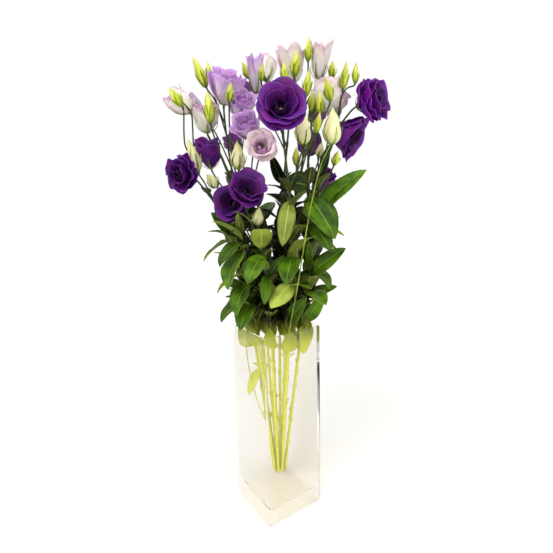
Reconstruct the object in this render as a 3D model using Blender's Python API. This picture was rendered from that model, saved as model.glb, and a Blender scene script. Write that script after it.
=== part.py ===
"""A bunch of cut lisianthus standing in a tall square glass vase, in metres, +Z up.

The origin is the middle of the vase's underside, and the vase's walls face +X, -X, +Y and -Y.
The bunch is laid out in its own axes, in millimetres: x across, y away from the front, z up. Those axes
are turned about Z against the vase, because the bunch shows its best side over one of the vase's corners.
Each cut stem is one node with its side shoots, its green buds and its small leaves, as it grew. Open
blooms, coloured buds and the large leaves are nodes of their own, a hair's breadth off the stem.
"""

import math
from collections import namedtuple

import bmesh
import bpy
import numpy as np
from mathutils import Vector
from mathutils.kdtree import KDTree

MM = 0.001
GAP = 1.2  # clearance between a stem and the bloom or leaf that grows on it, in mm

# The vase, in metres
VASE_SIDE = 0.102
VASE_HEIGHT = 0.305
VASE_WALL = 0.004
VASE_BASE = 0.022
VASE_EDGE_RADIUS = 0.004
VASE_EDGE_STEPS = 3

# The bunch, in mm and degrees
BUNCH_TURN = -33.8
FOOT_HEIGHT = VASE_BASE / MM + GAP
MOUTH_HEIGHT = 300  # where the stems are gathered, just under the vase's rim
FOOT_CENTRE = (2, 38)
MOUTH_CENTRE = (5, 0)
SHOULDER_HEIGHT = 420
SHOULDER_CENTRE = (4, 0)
FOOT_SPREAD = (9.5, 9.5)
MOUTH_SPREAD = (42, 25)  # the outer stems lean into the vase's left and right corners
SHOULDER_SPREAD = (58, 56)
STEM_RADIUS = 2.3
NECK_RADIUS = 1.3
SHOOT_RADIUS = 1.1
STEM_SIDES = 5
SHOOT_SIDES = 4
STEM_POINTS = 21
SHOOT_POINTS = 9
LEAF_THICKNESS = 0.9
LEAF_FOLD = 0.25
LEAF_CLEAR = 2.2

# How the stems settle: points every few mm, and the least room between two of them
POINT_SPACING = 6
LOWER_POINTS = 66
UPPER_POINTS = 28
LOWEST_SHOOT = 345
SHOOT_RISE = 40
SHOOT_SLANT = 0.9
CLEARANCE = 2.0
PINNED_POINTS = 2
ROOT_POINTS = 4
NEAR = 14
OPEN_REACH = 0.32
SETTLE_ROUNDS = 12
STEPS_PER_ROUND = 12

LOBES = 5

# Colours are linear RGB
FINISHES = {
    "glass": ((0.93, 0.95, 0.94), 0.05),
    "stem": ((0.12, 0.24, 0.05), 0.5),
    "leaf": ((0.10, 0.28, 0.04), 0.5),
    "violet": ((0.13, 0.01, 0.36), 0.55),
    "lilac": ((0.48, 0.33, 0.70), 0.55),
    "blush": ((0.80, 0.68, 0.72), 0.55),
    "cream": ((0.80, 0.79, 0.42), 0.55),
}

Seat = namedtuple("Seat", "angle reach leader")
Head = namedtuple("Head", "name stem form finish at width length turn lift")
Leaf = namedtuple("Leaf", "name stem height tip width bow turn lift")

# Where each cut stem stands in the bunch: its angle round the middle (0 is to the right, 90 is away
# from the front), its distance from the middle as a share of the bunch's spread, and the head it ends in.
SEATS = {
    "stem_left": Seat(180, 1.0, "violet_bloom_left"),
    "stem_left_back": Seat(141, 1.0, "lilac_bloom_top_left"),
    "stem_back": Seat(101, 1.0, "violet_bloom_back"),
    "stem_right_back": Seat(60, 1.0, "violet_bloom_low_right"),
    "stem_right": Seat(18, 1.0, "violet_bloom_far_right"),
    "stem_right_front": Seat(-24, 1.0, "blush_bloom_right"),
    "stem_front_right": Seat(-64, 1.0, "violet_bloom_front"),
    "stem_front": Seat(-103, 1.0, "violet_bloom_low_front"),
    "stem_left_front": Seat(-143, 1.0, "violet_bloom_low_left"),
    "stem_middle_left": Seat(185, 0.42, "blush_bloom_left"),
    "stem_middle_back": Seat(75, 0.42, "blush_bloom_top"),
    "stem_middle_right": Seat(-40, 0.42, "blush_bud_top"),
}

# Every bloom and bud: its middle, its greatest width and its length in mm, then the way it faces:
# turn is 0 towards the front and 90 to the right, and lift is its angle above the horizontal.
HEADS = [
    Head("violet_bloom_front", "stem_front_right", "open", "violet", (16, -72, 608), 64, 38, 0, 10),
    Head("violet_bloom_low_left", "stem_left_front", "open", "violet", (-55, -22, 493), 50, 34, -25, 15),
    Head("violet_bloom_low_front", "stem_front", "open", "violet", (-31, -63, 508), 46, 38, 25, 40),
    Head("violet_bloom_left", "stem_left", "open", "violet", (-125, -18, 534), 54, 36, -30, 0),
    Head("violet_bloom_half_left", "stem_middle_left", "cup", "violet", (-91, 19, 566), 35, 44, -10, 72),
    Head("violet_bloom_back", "stem_back", "cup", "violet", (-57, 60, 583), 25, 36, 200, 35),
    Head("violet_bloom_far_right", "stem_right", "open", "violet", (143, -4, 629), 58, 42, 50, 10),
    Head("violet_bloom_right", "stem_right", "open", "violet", (117, 39, 596), 58, 46, 65, -20),
    Head("violet_bloom_low_right", "stem_right_back", "cup", "violet", (83, 40, 520), 31, 38, 0, 55),
    Head("violet_bloom_back_right", "stem_middle_right", "open", "violet", (62, 60, 582), 34, 34, 170, 25),
    Head("violet_bloom_back_top", "stem_back", "cup", "violet", (-40, 75, 665), 25, 32, 185, 35),
    Head("violet_bloom_back_far", "stem_right_back", "cup", "violet", (75, 90, 631), 26, 34, 140, 35),
    Head("lilac_bloom_top_left", "stem_left_back", "cup", "lilac", (-61, 12, 655), 43, 46, 25, 62),
    Head("lilac_bloom_left", "stem_left_front", "cup", "lilac", (-37, -7, 626), 33, 36, 10, 40),
    Head("lilac_bloom_middle", "stem_middle_back", "half", "lilac", (-18, 20, 674), 22, 50, 0, 82),
    Head("lilac_bloom_front", "stem_front", "cup", "lilac", (-28, -30, 593), 35, 36, -30, 35),
    Head("lilac_bloom_back", "stem_left_back", "cup", "lilac", (-116, 50, 639), 25, 32, -125, 35),
    Head("blush_bloom_front", "stem_front", "open", "blush", (-10, -50, 566), 38, 34, 5, 15),
    Head("blush_bloom_far_left", "stem_left", "half", "blush", (-127, 5, 638), 36, 42, -75, 45),
    Head("blush_bloom_left", "stem_middle_left", "cup", "blush", (-94, 28, 618), 39, 42, -5, 80),
    Head("blush_bud_top", "stem_middle_right", "half", "blush", (76, 31, 693), 28, 48, 20, 78),
    Head("blush_bloom_top", "stem_middle_back", "half", "blush", (35, 45, 692), 38, 48, -10, 82),
    Head("blush_bloom_right", "stem_right_front", "open", "blush", (90, 28, 633), 56, 46, 120, 20),
    Head("blush_bloom_back", "stem_middle_back", "cup", "blush", (-3, 70, 694), 27, 42, 180, 55),
    Head("cream_bud_front", "stem_front_right", "bud", "cream", (47, -20, 590), 26, 40, 0, 84),
    Head("cream_bud_right", "stem_right_front", "bud", "cream", (87, -25, 592), 27, 46, 5, 86),
    Head("cream_bud_middle", "stem_left_front", "bud", "cream", (-44, -25, 557), 22, 36, 0, 84),
    Head("cream_bud_left", "stem_left", "bud", "cream", (-110, -3, 560), 19, 44, -60, 76),
    Head("cream_bud_low_left", "stem_middle_left", "bud", "cream", (-86, 5, 526), 18, 24, -50, 50),
    Head("cream_bud_low_front", "stem_front", "bud", "cream", (-17, -60, 474), 16, 24, 25, 72),
    Head("cream_bud_low_right", "stem_right_back", "bud", "cream", (76, 25, 568), 14, 20, 30, 70),
]

# Green buds grow as one piece with their stem.
GREEN_BUDS = [
    Head("green_bud_1", "stem_left_back", "bud", "green", (-97, 15, 677), 17, 40, -65, 66),
    Head("green_bud_2", "stem_left_back", "bud", "green", (-86, 30, 682), 10, 25, -30, 82),
    Head("green_bud_3", "stem_left", "bud", "green", (-124, -28, 635), 14, 28, -50, 50),
    Head("green_bud_4", "stem_middle_left", "bud", "green", (-80, -28, 620), 16, 38, -20, 84),
    Head("green_bud_5", "stem_left_front", "bud", "green", (-50, -36, 637), 12, 24, 25, 68),
    Head("green_bud_6", "stem_back", "bud", "green", (-33, 50, 689), 12, 24, -60, 60),
    Head("green_bud_7", "stem_middle_back", "bud", "green", (-8, 5, 673), 9, 20, 40, 74),
    Head("green_bud_8", "stem_front_right", "bud", "green", (23, 5, 672), 11, 25, 0, 86),
    Head("green_bud_9", "stem_middle_right", "bud", "green", (40, 10, 684), 16, 32, 30, 76),
    Head("green_bud_10", "stem_middle_right", "bud", "green", (59, 19, 705), 12, 28, 15, 82),
    Head("green_bud_11", "stem_middle_right", "bud", "green", (55, -5, 654), 13, 33, 30, 76),
    Head("green_bud_12", "stem_right_front", "bud", "green", (82, -20, 642), 14, 30, -30, 62),
    Head("green_bud_13", "stem_right", "bud", "green", (107, -3, 663), 13, 33, 35, 78),
    Head("green_bud_14", "stem_right", "bud", "green", (126, 15, 671), 10, 25, 10, 86),
    Head("green_bud_15", "stem_right_back", "bud", "green", (64, 20, 635), 13, 30, 0, 84),
    Head("green_bud_16", "stem_right_front", "bud", "green", (73, 0, 629), 12, 27, -20, 80),
    Head("green_bud_17", "stem_right_back", "bud", "green", (96, 40, 684), 13, 22, 0, 82),
    Head("green_bud_18", "stem_front_right", "bud", "green", (65, -45, 595), 11, 26, 35, 68),
    Head("green_bud_19", "stem_middle_right", "bud", "green", (39, 10, 558), 12, 25, 0, 84),
    Head("green_bud_20", "stem_right_front", "bud", "green", (95, -5, 553), 12, 20, 45, 70),
]


# The large leaves: the stem and the height in mm where each clasps it, its tip, its greatest width, how
# far its middle bows out of the straight line, and the way that its upper side faces, as for a head.
LEAVES = [
    Leaf("leaf_upper_right", "stem_right", 470, (140, -4, 536), 34, 9, -10, 42),
    Leaf("leaf_broad_right", "stem_right_front", 496, (88, -48, 440), 42, 8, 5, 20),
    Leaf("leaf_round_middle", "stem_right_front", 514, (20, -30, 521), 35, 4, 5, 15),
    Leaf("leaf_pale_middle", "stem_front_right", 494, (14, -80, 436), 25, -5, 180, -5),
    Leaf("leaf_broad_left", "stem_left_front", 426, (-62, -66, 376), 38, 6, -40, 5),
    Leaf("leaf_front_left", "stem_front", 422, (-34, -84, 387), 28, 5, -10, 30),
    Leaf("leaf_low_left", "stem_left_front", 376, (-52, -62, 338), 36, 6, -35, 25),
    Leaf("leaf_pointed_low", "stem_front", 392, (-12, -80, 358), 18, 4, 10, 10),
    Leaf("leaf_pale_low", "stem_front_right", 378, (-4, -78, 352), 29, -4, 180, -40),
    Leaf("leaf_right", "stem_right_front", 385, (107, -25, 425), 27, 6, 0, 35),
    Leaf("leaf_low_right", "stem_right", 345, (98, -5, 364), 19, 4, 0, 40),
    Leaf("leaf_mouth_right", "stem_right_front", 312, (76, -22, 357), 22, 6, 10, 10),
    Leaf("leaf_mouth_front", "stem_front_right", 318, (46, -64, 362), 24, 5, -20, 20),
    Leaf("leaf_inner_middle", "stem_middle_right", 440, (12, -38, 488), 28, 3, -5, 10),
    Leaf("leaf_inner_right", "stem_right_front", 462, (82, -52, 424), 30, 5, 10, 25),
    Leaf("leaf_in_mouth", "stem_right_front", 298, (43, -17, 260), 23, 3, 34, 3),
]

# Small leaves, each grown as one piece with its stem, given in the same way.
SMALL_LEAVES = [
    Leaf("bract_left", "stem_left", 450, (-86, -24, 481), 20, 5, -30, 40),
    Leaf("bract_inner", "stem_front", 388, (16, -50, 420), 15, 3, 0, 10),
    Leaf("bract_right", "stem_right_front", 400, (52, -40, 438), 12, 3, -10, 10),
    Leaf("bract_pale_left", "stem_left_front", 447, (-45, -52, 481), 14, -3, 170, -5),
    Leaf("bract_high_right", "stem_right", 528, (86, -15, 573), 14, 4, 0, 30),
    Leaf("bract_high_middle", "stem_middle_back", 520, (1, -8, 562), 18, 4, -15, 10),
]

# The other leaves follow the plant's habit: pairs up the stem, each pair a quarter turn from the last.
# Each blade turns to the nearest free space, and one that finds none is left out.
FIRST_PAIR = 348
PAIR_SPACING = 45
PAIRS = 3
PAIR_STAGGER = 12
HABIT_SIZES = [(54, 31), (40, 22)]
HABIT_LIFTS = [[35, 60, 5], [-35, -10, 25]]
HABIT_TURNS = [0, 25, -25, 50, -50, 75, -75]
HABIT_BOW = 5
HABIT_SAMPLES = 100
LEAF_ROOM = 4.2
STEM_ROOM = 3.2

def facing(turn, lift):
    """The unit vector that a head or a shoot points along, in the bunch's axes."""
    turn, lift = math.radians(turn), math.radians(lift)
    return np.array([
        math.sin(turn) * math.cos(lift),
        -math.cos(turn) * math.cos(lift),
        math.sin(lift),
    ])


def heel(head):
    """Where a head sits on its shoot."""
    return np.array(head.at, float) - facing(head.turn, head.lift) * head.length / 2


def seat_point(seat, height):
    """Where a stem in this seat passes a height, below the shoulder where the bunch starts to open."""
    centres = [FOOT_CENTRE, MOUTH_CENTRE, SHOULDER_CENTRE]
    spreads = [FOOT_SPREAD, MOUTH_SPREAD, SHOULDER_SPREAD]
    levels = [FOOT_HEIGHT, MOUTH_HEIGHT, SHOULDER_HEIGHT]
    angle = math.radians(seat.angle)
    around = (math.cos(angle), math.sin(angle))
    place = [
        np.interp(height, levels, [centre[k] + spread[k] * seat.reach * around[k]
                                   for centre, spread in zip(centres, spreads)])
        for k in range(2)
    ]
    return np.array([*place, height])


def hermite(start, start_slope, end, end_slope, count):
    """Points on the cubic that leaves start along start_slope and reaches end along end_slope."""
    t = np.linspace(0, 1, count)[:, None]
    return (
        (2 * t**3 - 3 * t**2 + 1) * start
        + (t**3 - 2 * t**2 + t) * start_slope
        + (3 * t**2 - 2 * t**3) * end
        + (t**3 - t**2) * end_slope
    )


def main_path(stem):
    """A cut stem from its foot to the heel of the head that it ends in."""
    seat = SEATS[stem]
    levels = np.linspace(FOOT_HEIGHT, SHOULDER_HEIGHT, LOWER_POINTS)
    lower = np.array([seat_point(seat, level) for level in levels])
    leader = next(head for head in HEADS if head.name == seat.leader)
    end = heel(leader)
    reach = np.linalg.norm(end - lower[-1])
    upper = hermite(
        lower[-1],
        reach * direction(lower[-2], lower[-1]),
        end,
        reach * 0.7 * facing(leader.turn, leader.lift),
        UPPER_POINTS,
    )
    return np.vstack([lower, upper[1:]])


def direction(start, end):
    return (end - start) / np.linalg.norm(end - start)


def shoot_root(path, end):
    """Which point of a stem the shoot to this heel leaves from: lower for a heel further to the side."""
    level = max(LOWEST_SHOOT, end[2] - SHOOT_RISE)
    for _ in range(3):
        k = int(np.argmin(np.abs(path[:, 2] - level)))
        aside = np.linalg.norm(end[:2] - path[k, :2])
        level = max(LOWEST_SHOOT, end[2] - SHOOT_RISE - aside * SHOOT_SLANT)
    return min(int(np.argmin(np.abs(path[:, 2] - level))), len(path) - 4)


def shoot_path(path, k, head):
    """A side shoot from point k of its stem to its head."""
    end = heel(head)
    reach = np.linalg.norm(end - path[k])
    start_way = direction(path[k - 1], path[k + 1]) + 0.6 * direction(path[k], end)
    return hermite(
        path[k],
        reach * 0.7 * start_way,
        end,
        reach * 0.6 * facing(head.turn, head.lift),
        max(6, int(reach / POINT_SPACING)),
    )


def grow():
    """The line of every stem and shoot, by name. While they settle, each shoot carries the number of the
    point of its stem that it leaves from."""
    grown = {}
    for stem in SEATS:
        grown[stem] = [main_path(stem), None]
    leaders = {seat.leader for seat in SEATS.values()}
    for head in HEADS + GREEN_BUDS:
        if head.name in leaders:
            continue
        path = grown[head.stem][0]
        k = shoot_root(path, heel(head))
        grown[head.name] = [shoot_path(path, k, head), k]
    settle(grown)
    return {name: trimmed(name, grown) for name in grown}


def trimmed(name, grown):
    """The few points that a stem or shoot is built from; a shoot starts on its stem's own line."""
    points, k = grown[name]
    if k is None:
        return thinned(points, STEM_POINTS)
    line = thinned(points, SHOOT_POINTS)
    line[0] = point_at(thinned(grown[stem_of(name)][0], STEM_POINTS), points[0, 2])
    return line


def settle(grown):
    """Stems, shoots and heads push each other aside until they lie clear, as they do in a full vase."""
    heads = {head.name: head for head in HEADS + GREEN_BUDS}
    names = list(grown)
    starts = np.cumsum([0] + [len(grown[n][0]) for n in names])
    line = np.concatenate([np.full(len(grown[n][0]), i) for i, n in enumerate(names)])
    step = np.concatenate([np.arange(len(grown[n][0])) for n in names])
    radius = np.where(np.array([names[i] in SEATS for i in line]), STEM_RADIUS, SHOOT_RADIUS)
    family = np.array([list(SEATS).index(n if n in SEATS else heads[n].stem) for n in names])[line]
    near_stem = np.array([n in SEATS for n in names])[line] | (step < ROOT_POINTS)
    ends_in = np.array([SEATS[n].leader if n in SEATS else n for n in names])[line]
    held = (step == 0) | (step >= np.diff(starts)[line] - PINNED_POINTS)
    points = np.vstack([grown[n][0] for n in names])
    for round_number in range(SETTLE_ROUNDS):
        first, second = close_pairs(points)
        joined = (family[first] == family[second]) & near_stem[first] & near_stem[second]
        kept = (line[first] != line[second]) & ~joined
        first, second = first[kept], second[kept]
        need = radius[first] + radius[second] + CLEARANCE
        for _ in range(STEPS_PER_ROUND):
            gap = points[first] - points[second]
            distance = np.linalg.norm(gap, axis=1) + 1e-9
            part = gap * (0.4 * np.maximum(0, need - distance) / distance)[:, None]
            push = np.zeros_like(points)
            np.add.at(push, first, part)
            np.add.at(push, second, -part)
            for head in heads.values():
                push += pushed_by(head, points, radius, ends_in != head.name)
            bend = np.zeros_like(points)
            bend[1:-1] = (points[:-2] + points[2:]) / 2 - points[1:-1]
            points[~held] += push[~held] + 0.25 * bend[~held]
            for i, name in enumerate(names):
                if name not in SEATS:
                    points[starts[i]] = points[starts[names.index(heads[name].stem)] + grown[name][1]]
    for i, name in enumerate(names):
        grown[name][0] = points[starts[i]:starts[i + 1]]


def close_pairs(points):
    """Every pair of points near enough to touch before the next round."""
    tree = KDTree(len(points))
    for i, point in enumerate(points):
        tree.insert(point, i)
    tree.balance()
    pairs = [
        (i, j)
        for i, point in enumerate(points)
        for _, j, _ in tree.find_range(point, NEAR)
        if i < j
    ]
    return np.array(pairs).T


def pushed_by(head, points, radius, free):
    """How a head pushes the stems that crowd it, as one push for each point that is free to move."""
    half = OPEN_REACH * head.length if head.form != "bud" else (head.length - head.width) / 2
    way = facing(head.turn, head.lift)
    offset = points - np.array(head.at, float)
    offset -= np.clip(offset @ way, -half, half)[:, None] * way
    distance = np.linalg.norm(offset, axis=1) + 1e-9
    depth = np.maximum(0, head.width / 2 + radius + CLEARANCE - distance) * free
    return offset * (0.5 * depth / distance)[:, None]


def thinned(points, count):
    """The same line with this many points, evenly along it."""
    steps = np.linalg.norm(np.diff(points, axis=0), axis=1)
    walked = np.concatenate([[0], np.cumsum(steps)])
    wanted = np.linspace(0, walked[-1], count)
    return np.stack([np.interp(wanted, walked, points[:, k]) for k in range(3)], axis=1)


def leaf_base(leaf, grown):
    """Where a leaf meets its stem: a separate blade stands clear of it, a joined one starts inside it."""
    path = grown[leaf.stem]
    centre = point_at(path, leaf.height)
    away = np.array(leaf.tip, float) - centre
    along = direction(centre, point_at(path, leaf.height + 5))
    away -= along * (away @ along)
    clear = STEM_RADIUS + LEAF_CLEAR if leaf in LEAVES else 0
    return centre + away / np.linalg.norm(away) * clear


def habit_leaves(grown):
    """The leaves that follow the plant's habit, each turned to free space, as joined leaves."""
    lines = {name: thinned(path, HABIT_SAMPLES) for name, path in grown.items()}
    stems = KDTree(len(lines) * HABIT_SAMPLES)
    owners = []
    for name, path in lines.items():
        for point in path:
            stems.insert(point, len(owners))
            owners.append(name if name in SEATS else stem_of(name))
    stems.balance()
    taken = [blade(leaf_base(leaf, grown), leaf, 10, 6)[0] for leaf in LEAVES + SMALL_LEAVES]
    added = []
    for order, stem in enumerate(SEATS):
        for pair in range(PAIRS):
            height = FIRST_PAIR + pair * PAIR_SPACING + (order * 5 % 4) * PAIR_STAGGER
            start = point_at(grown[stem], height)
            outward = SEATS[stem].angle + 90
            for side in range(2):
                turn = outward + (90 if pair % 2 else 35) * (1 if side else -1)
                name = f"{stem}_leaf_{pair}{side}"
                lifts = HABIT_LIFTS[(pair + side) % 2]
                found = free_leaf(name, stem, height, start, turn, lifts, stems, owners, taken)
                if found:
                    added.append(found)
                    taken.append(blade(start, found, 10, 6)[0])
    return added


def stem_of(name):
    return next(head.stem for head in HEADS + GREEN_BUDS if head.name == name)


def free_leaf(name, stem, height, start, turn, lifts, stems, owners, taken):
    """The first leaf near this turn that clears the stems, heads and leaves around it, or None."""
    for length, width in HABIT_SIZES:
        for lift in lifts:
            for aside in HABIT_TURNS:
                tip = start + length * facing(turn + aside, lift)
                leaf = Leaf(name, stem, height, tuple(tip), width, HABIT_BOW, turn + aside, lift + 80)
                points = blade(start, leaf, 10, 6)[0]
                if leaf_is_free(points, stem, stems, owners, taken):
                    return leaf
    return None


def leaf_is_free(points, stem, stems, owners, taken):
    """Whether a blade's points keep their distance from other stems, from heads and from other leaves."""
    outer = points[14:]
    for point in points:
        for _, i, _ in stems.find_range(point, STEM_RADIUS + STEM_ROOM):
            if owners[i] != stem:
                return False
    for point in points[21:]:
        if stems.find(point)[2] < STEM_RADIUS + STEM_ROOM:
            return False
    for head in HEADS + GREEN_BUDS:
        if np.any(pushed_by(head, points, LEAF_ROOM - CLEARANCE, True)):
            return False
    centre = points.mean(axis=0)
    for other in taken:
        if np.linalg.norm(other.mean(axis=0) - centre) > 70:
            continue
        gaps = np.linalg.norm(outer[:, None] - other[None], axis=2)
        if gaps.min() < LEAF_ROOM:
            return False
    return True


def material(name):
    """One Principled material for each finish, made when it is first asked for."""
    made = bpy.data.materials.get(name)
    if made is None:
        colour, roughness = FINISHES[name]
        made = bpy.data.materials.new(name)
        made.use_nodes = True
        shader = made.node_tree.nodes["Principled BSDF"]
        shader.inputs["Base Color"].default_value = (*colour, 1)
        shader.inputs["Roughness"].default_value = roughness
        if name == "glass":
            shader.inputs["Transmission Weight"].default_value = 1
            shader.inputs["IOR"].default_value = 1.52
    return made


def add_object(name, vertices, faces, finish, parent):
    """A mesh object from points in mm, hung on the bunch."""
    mesh = bpy.data.meshes.new(name)
    mesh.from_pydata([Vector(v) * MM for v in vertices], [], faces)
    mesh.materials.append(material(finish))
    mesh.shade_smooth()
    mesh.set_sharp_from_angle(angle=math.radians(40))
    shape = bpy.data.objects.new(name, mesh)
    shape.parent = parent
    bpy.context.scene.collection.objects.link(shape)
    return shape


def ring_faces(first, second, count):
    """The quads between two rings of points, given by the index of each ring's first point."""
    return [
        (first + i, first + (i + 1) % count, second + (i + 1) % count, second + i)
        for i in range(count)
    ]


def tube(points, radii, sides):
    """A closed round tube along a line: its points and faces."""
    way = np.gradient(points, axis=0)
    way /= np.linalg.norm(way, axis=1)[:, None]
    side = np.cross(way[0], (0, 1, 0))
    vertices, faces = [], []
    for i, centre in enumerate(points):
        side = side - way[i] * (side @ way[i])
        side /= np.linalg.norm(side)
        up = np.cross(way[i], side)
        for k in range(sides):
            angle = 2 * math.pi * k / sides
            vertices.append(centre + radii[i] * (side * math.cos(angle) + up * math.sin(angle)))
        if i:
            faces += ring_faces((i - 1) * sides, i * sides, sides)
    faces.append(tuple(reversed(range(sides))))
    last = (len(points) - 1) * sides
    faces.append(tuple(range(last, last + sides)))
    return vertices, faces


def turned(head, profile, sides, wave=0.0):
    """A closed turned solid on a head's axis. Profile holds (radius, height) pairs as shares of the
    head's half width and length, from its heel over its rim to its heart; wave makes the rim lobed."""
    way = Vector(facing(head.turn, head.lift))
    turn = way.to_track_quat("Z", "Y").to_matrix()
    base = Vector(heel(head))
    rim = max(share for share, _ in profile)
    vertices = [base + turn @ Vector((0, 0, profile[0][1] * head.length))]
    for share, height in profile[1:-1]:
        for k in range(sides):
            angle = 2 * math.pi * k / sides
            swell = 1 - wave * (1 + math.cos(LOBES * angle)) / 2 * (share / rim) ** 2
            radius = share * swell * head.width / 2
            lift = height * head.length * (1 - 0.6 * wave * math.sin(LOBES * angle) * share / rim)
            point = Vector((radius * math.cos(angle), radius * math.sin(angle), lift))
            vertices.append(base + turn @ point)
    vertices.append(base + turn @ Vector((0, 0, profile[-1][1] * head.length)))
    faces = [(0, 1 + (k + 1) % sides, 1 + k) for k in range(sides)]
    rings = len(profile) - 2
    for ring in range(rings - 1):
        faces += ring_faces(1 + ring * sides, 1 + (ring + 1) * sides, sides)
    last = 1 + (rings - 1) * sides
    end = len(vertices) - 1
    faces += [(last + k, last + (k + 1) % sides, end) for k in range(sides)]
    return vertices, faces


PROFILES = {
    "open": [(0, 0), (0.16, 0.02), (0.40, 0.22), (0.72, 0.52), (1.0, 0.86), (0.96, 0.94),
             (0.66, 0.72), (0.40, 0.66), (0.30, 0.98), (0, 1.0)],
    "cup": [(0, 0), (0.24, 0.02), (0.66, 0.18), (0.92, 0.42), (1.0, 0.66), (0.94, 0.95),
            (0.70, 0.88), (0.34, 0.90), (0, 0.98)],
    "half": [(0, 0), (0.26, 0.02), (0.74, 0.16), (1.0, 0.38), (0.90, 0.66), (0.52, 0.92), (0, 1.0)],
    "bud": [(0, 0), (0.30, 0.01), (0.86, 0.16), (1.0, 0.34), (0.78, 0.60), (0.34, 0.88), (0, 1.0)],
}
WAVES = {"open": 0.16, "cup": 0.10, "half": 0.10, "bud": 0.0}
SIDES = {"open": 15, "cup": 10, "half": 8, "bud": 7}


def blade(base, leaf, along, across):
    """The middle surface of a leaf, as rows of points from base to tip, and the way its upper side faces:
    bowed along its length and slightly folded up its midrib."""
    tip = np.array(leaf.tip, float)
    axis = direction(base, tip)
    normal = facing(leaf.turn, leaf.lift)
    normal = normal - axis * (normal @ axis)
    normal /= np.linalg.norm(normal)
    side = np.cross(axis, normal)
    t = np.linspace(0.02, 0.98, along + 1)[:, None, None]
    s = np.linspace(-1, 1, across + 1)[None, :, None]
    half = leaf.width / 2 * blade_width(t)
    rows = (
        base
        + axis * np.linalg.norm(tip - base) * t
        + normal * (leaf.bow * 4 * t * (1 - t) + LEAF_FOLD * half * abs(s))
        + side * half * s
    )
    return rows.reshape(-1, 3), normal


def leaf_shape(base, leaf, along, across):
    """A leaf as a thin closed body."""
    points, normal = blade(base, leaf, along, across)
    lift = normal * LEAF_THICKNESS / 2
    return closed_sheet(points + lift, points - lift, along, across)


def blade_width(t):
    """A leaf's width along its length, as a share of its greatest: broad below the middle, then a point."""
    return np.maximum(0.07, 2.37 * t**0.7 * (1 - t) ** 0.72 * (1 + 0.25 * t))


def closed_sheet(top, bottom, along, across):
    """The points and faces of the closed body between two grids of points."""
    row = across + 1
    under = len(top)
    faces = []
    for i in range(along):
        for j in range(across):
            a, b = i * row + j, (i + 1) * row + j
            faces.append((a, a + 1, b + 1, b))
            faces.append((under + a, under + b, under + b + 1, under + a + 1))
    edge = [j for j in range(row)]
    edge += [i * row + across for i in range(1, along + 1)]
    edge += [along * row + j for j in range(across - 1, -1, -1)]
    edge += [i * row for i in range(along - 1, 0, -1)]
    for k, a in enumerate(edge):
        b = edge[(k + 1) % len(edge)]
        faces.append((a, under + a, under + b, b))
    return [*top, *bottom], faces


def facing_out(shape):
    """Turns a closed mesh's faces outwards."""
    work = bmesh.new()
    work.from_mesh(shape.data)
    bmesh.ops.recalc_face_normals(work, faces=work.faces)
    work.to_mesh(shape.data)
    work.free()
    return shape


def build_vase():
    """One square glass body: rounded upright edges, thin walls and a thick foot."""
    work = bmesh.new()
    bmesh.ops.create_cube(work, size=1)
    bmesh.ops.scale(work, vec=(VASE_SIDE, VASE_SIDE, VASE_HEIGHT), verts=work.verts)
    bmesh.ops.translate(work, vec=(0, 0, VASE_HEIGHT / 2), verts=work.verts)
    upright = [e for e in work.edges if abs(e.verts[0].co.z - e.verts[1].co.z) > VASE_HEIGHT / 2]
    bmesh.ops.bevel(
        work, geom=upright, offset=VASE_EDGE_RADIUS, segments=VASE_EDGE_STEPS,
        profile=0.5, affect="EDGES",
    )
    work.faces.ensure_lookup_table()
    mouth = max(work.faces, key=lambda face: face.calc_center_median().z)
    bmesh.ops.inset_region(work, faces=[mouth], thickness=VASE_WALL)
    inner = bmesh.ops.extrude_discrete_faces(work, faces=[mouth])["faces"][0]
    bmesh.ops.translate(work, vec=(0, 0, VASE_BASE - VASE_HEIGHT), verts=inner.verts)
    mesh = bpy.data.meshes.new("vase")
    work.to_mesh(mesh)
    work.free()
    mesh.materials.append(material("glass"))
    shape = bpy.data.objects.new("vase", mesh)
    bpy.context.scene.collection.objects.link(shape)
    return shape


def build_head(head, parent):
    """A bloom or bud as one solid of its outer shape, a gap clear of the shoot below it."""
    lifted = head._replace(
        at=tuple(np.array(head.at) + GAP * facing(head.turn, head.lift))
    )
    vertices, faces = turned(lifted, PROFILES[head.form], SIDES[head.form], WAVES[head.form])
    return facing_out(add_object(head.name, vertices, faces, head.finish, parent))


def build_stem(stem, grown, small_leaves, parent):
    """A cut stem with its side shoots, green buds and small leaves, joined into one body."""
    radii = np.linspace(STEM_RADIUS, NECK_RADIUS, STEM_POINTS)
    body = facing_out(add_object(stem, *tube(grown[stem], radii, STEM_SIDES), "stem", parent))
    shoots = bpy.data.collections.new(stem + "_shoots")
    bpy.context.scene.collection.children.link(shoots)
    leader = SEATS[stem].leader
    for head in HEADS + GREEN_BUDS:
        if head.stem != stem:
            continue
        if head.name != leader:
            shoot = tube(grown[head.name], [SHOOT_RADIUS] * SHOOT_POINTS, SHOOT_SIDES)
            add_shoot(head.name + "_shoot", shoot, shoots, parent)
        if head in GREEN_BUDS:
            low = head._replace(at=tuple(np.array(head.at) - facing(head.turn, head.lift)))
            add_shoot(head.name, turned(low, PROFILES["bud"], SIDES["bud"]), shoots, parent)
    for leaf in small_leaves:
        if leaf.stem == stem:
            add_shoot(leaf.name, leaf_shape(leaf_base(leaf, grown), leaf, 3, 2), shoots, parent)
    join = body.modifiers.new("grown together", "BOOLEAN")
    join.operation = "UNION"
    join.solver = "EXACT"
    join.operand_type = "COLLECTION"
    join.collection = shoots
    return body


def add_shoot(name, shape, shoots, parent):
    """A helper body that a Boolean joins to its stem."""
    helper = facing_out(add_object(name, *shape, "stem", parent))
    bpy.context.scene.collection.objects.unlink(helper)
    shoots.objects.link(helper)
    helper.hide_render = True
    helper.display_type = "WIRE"


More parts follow.
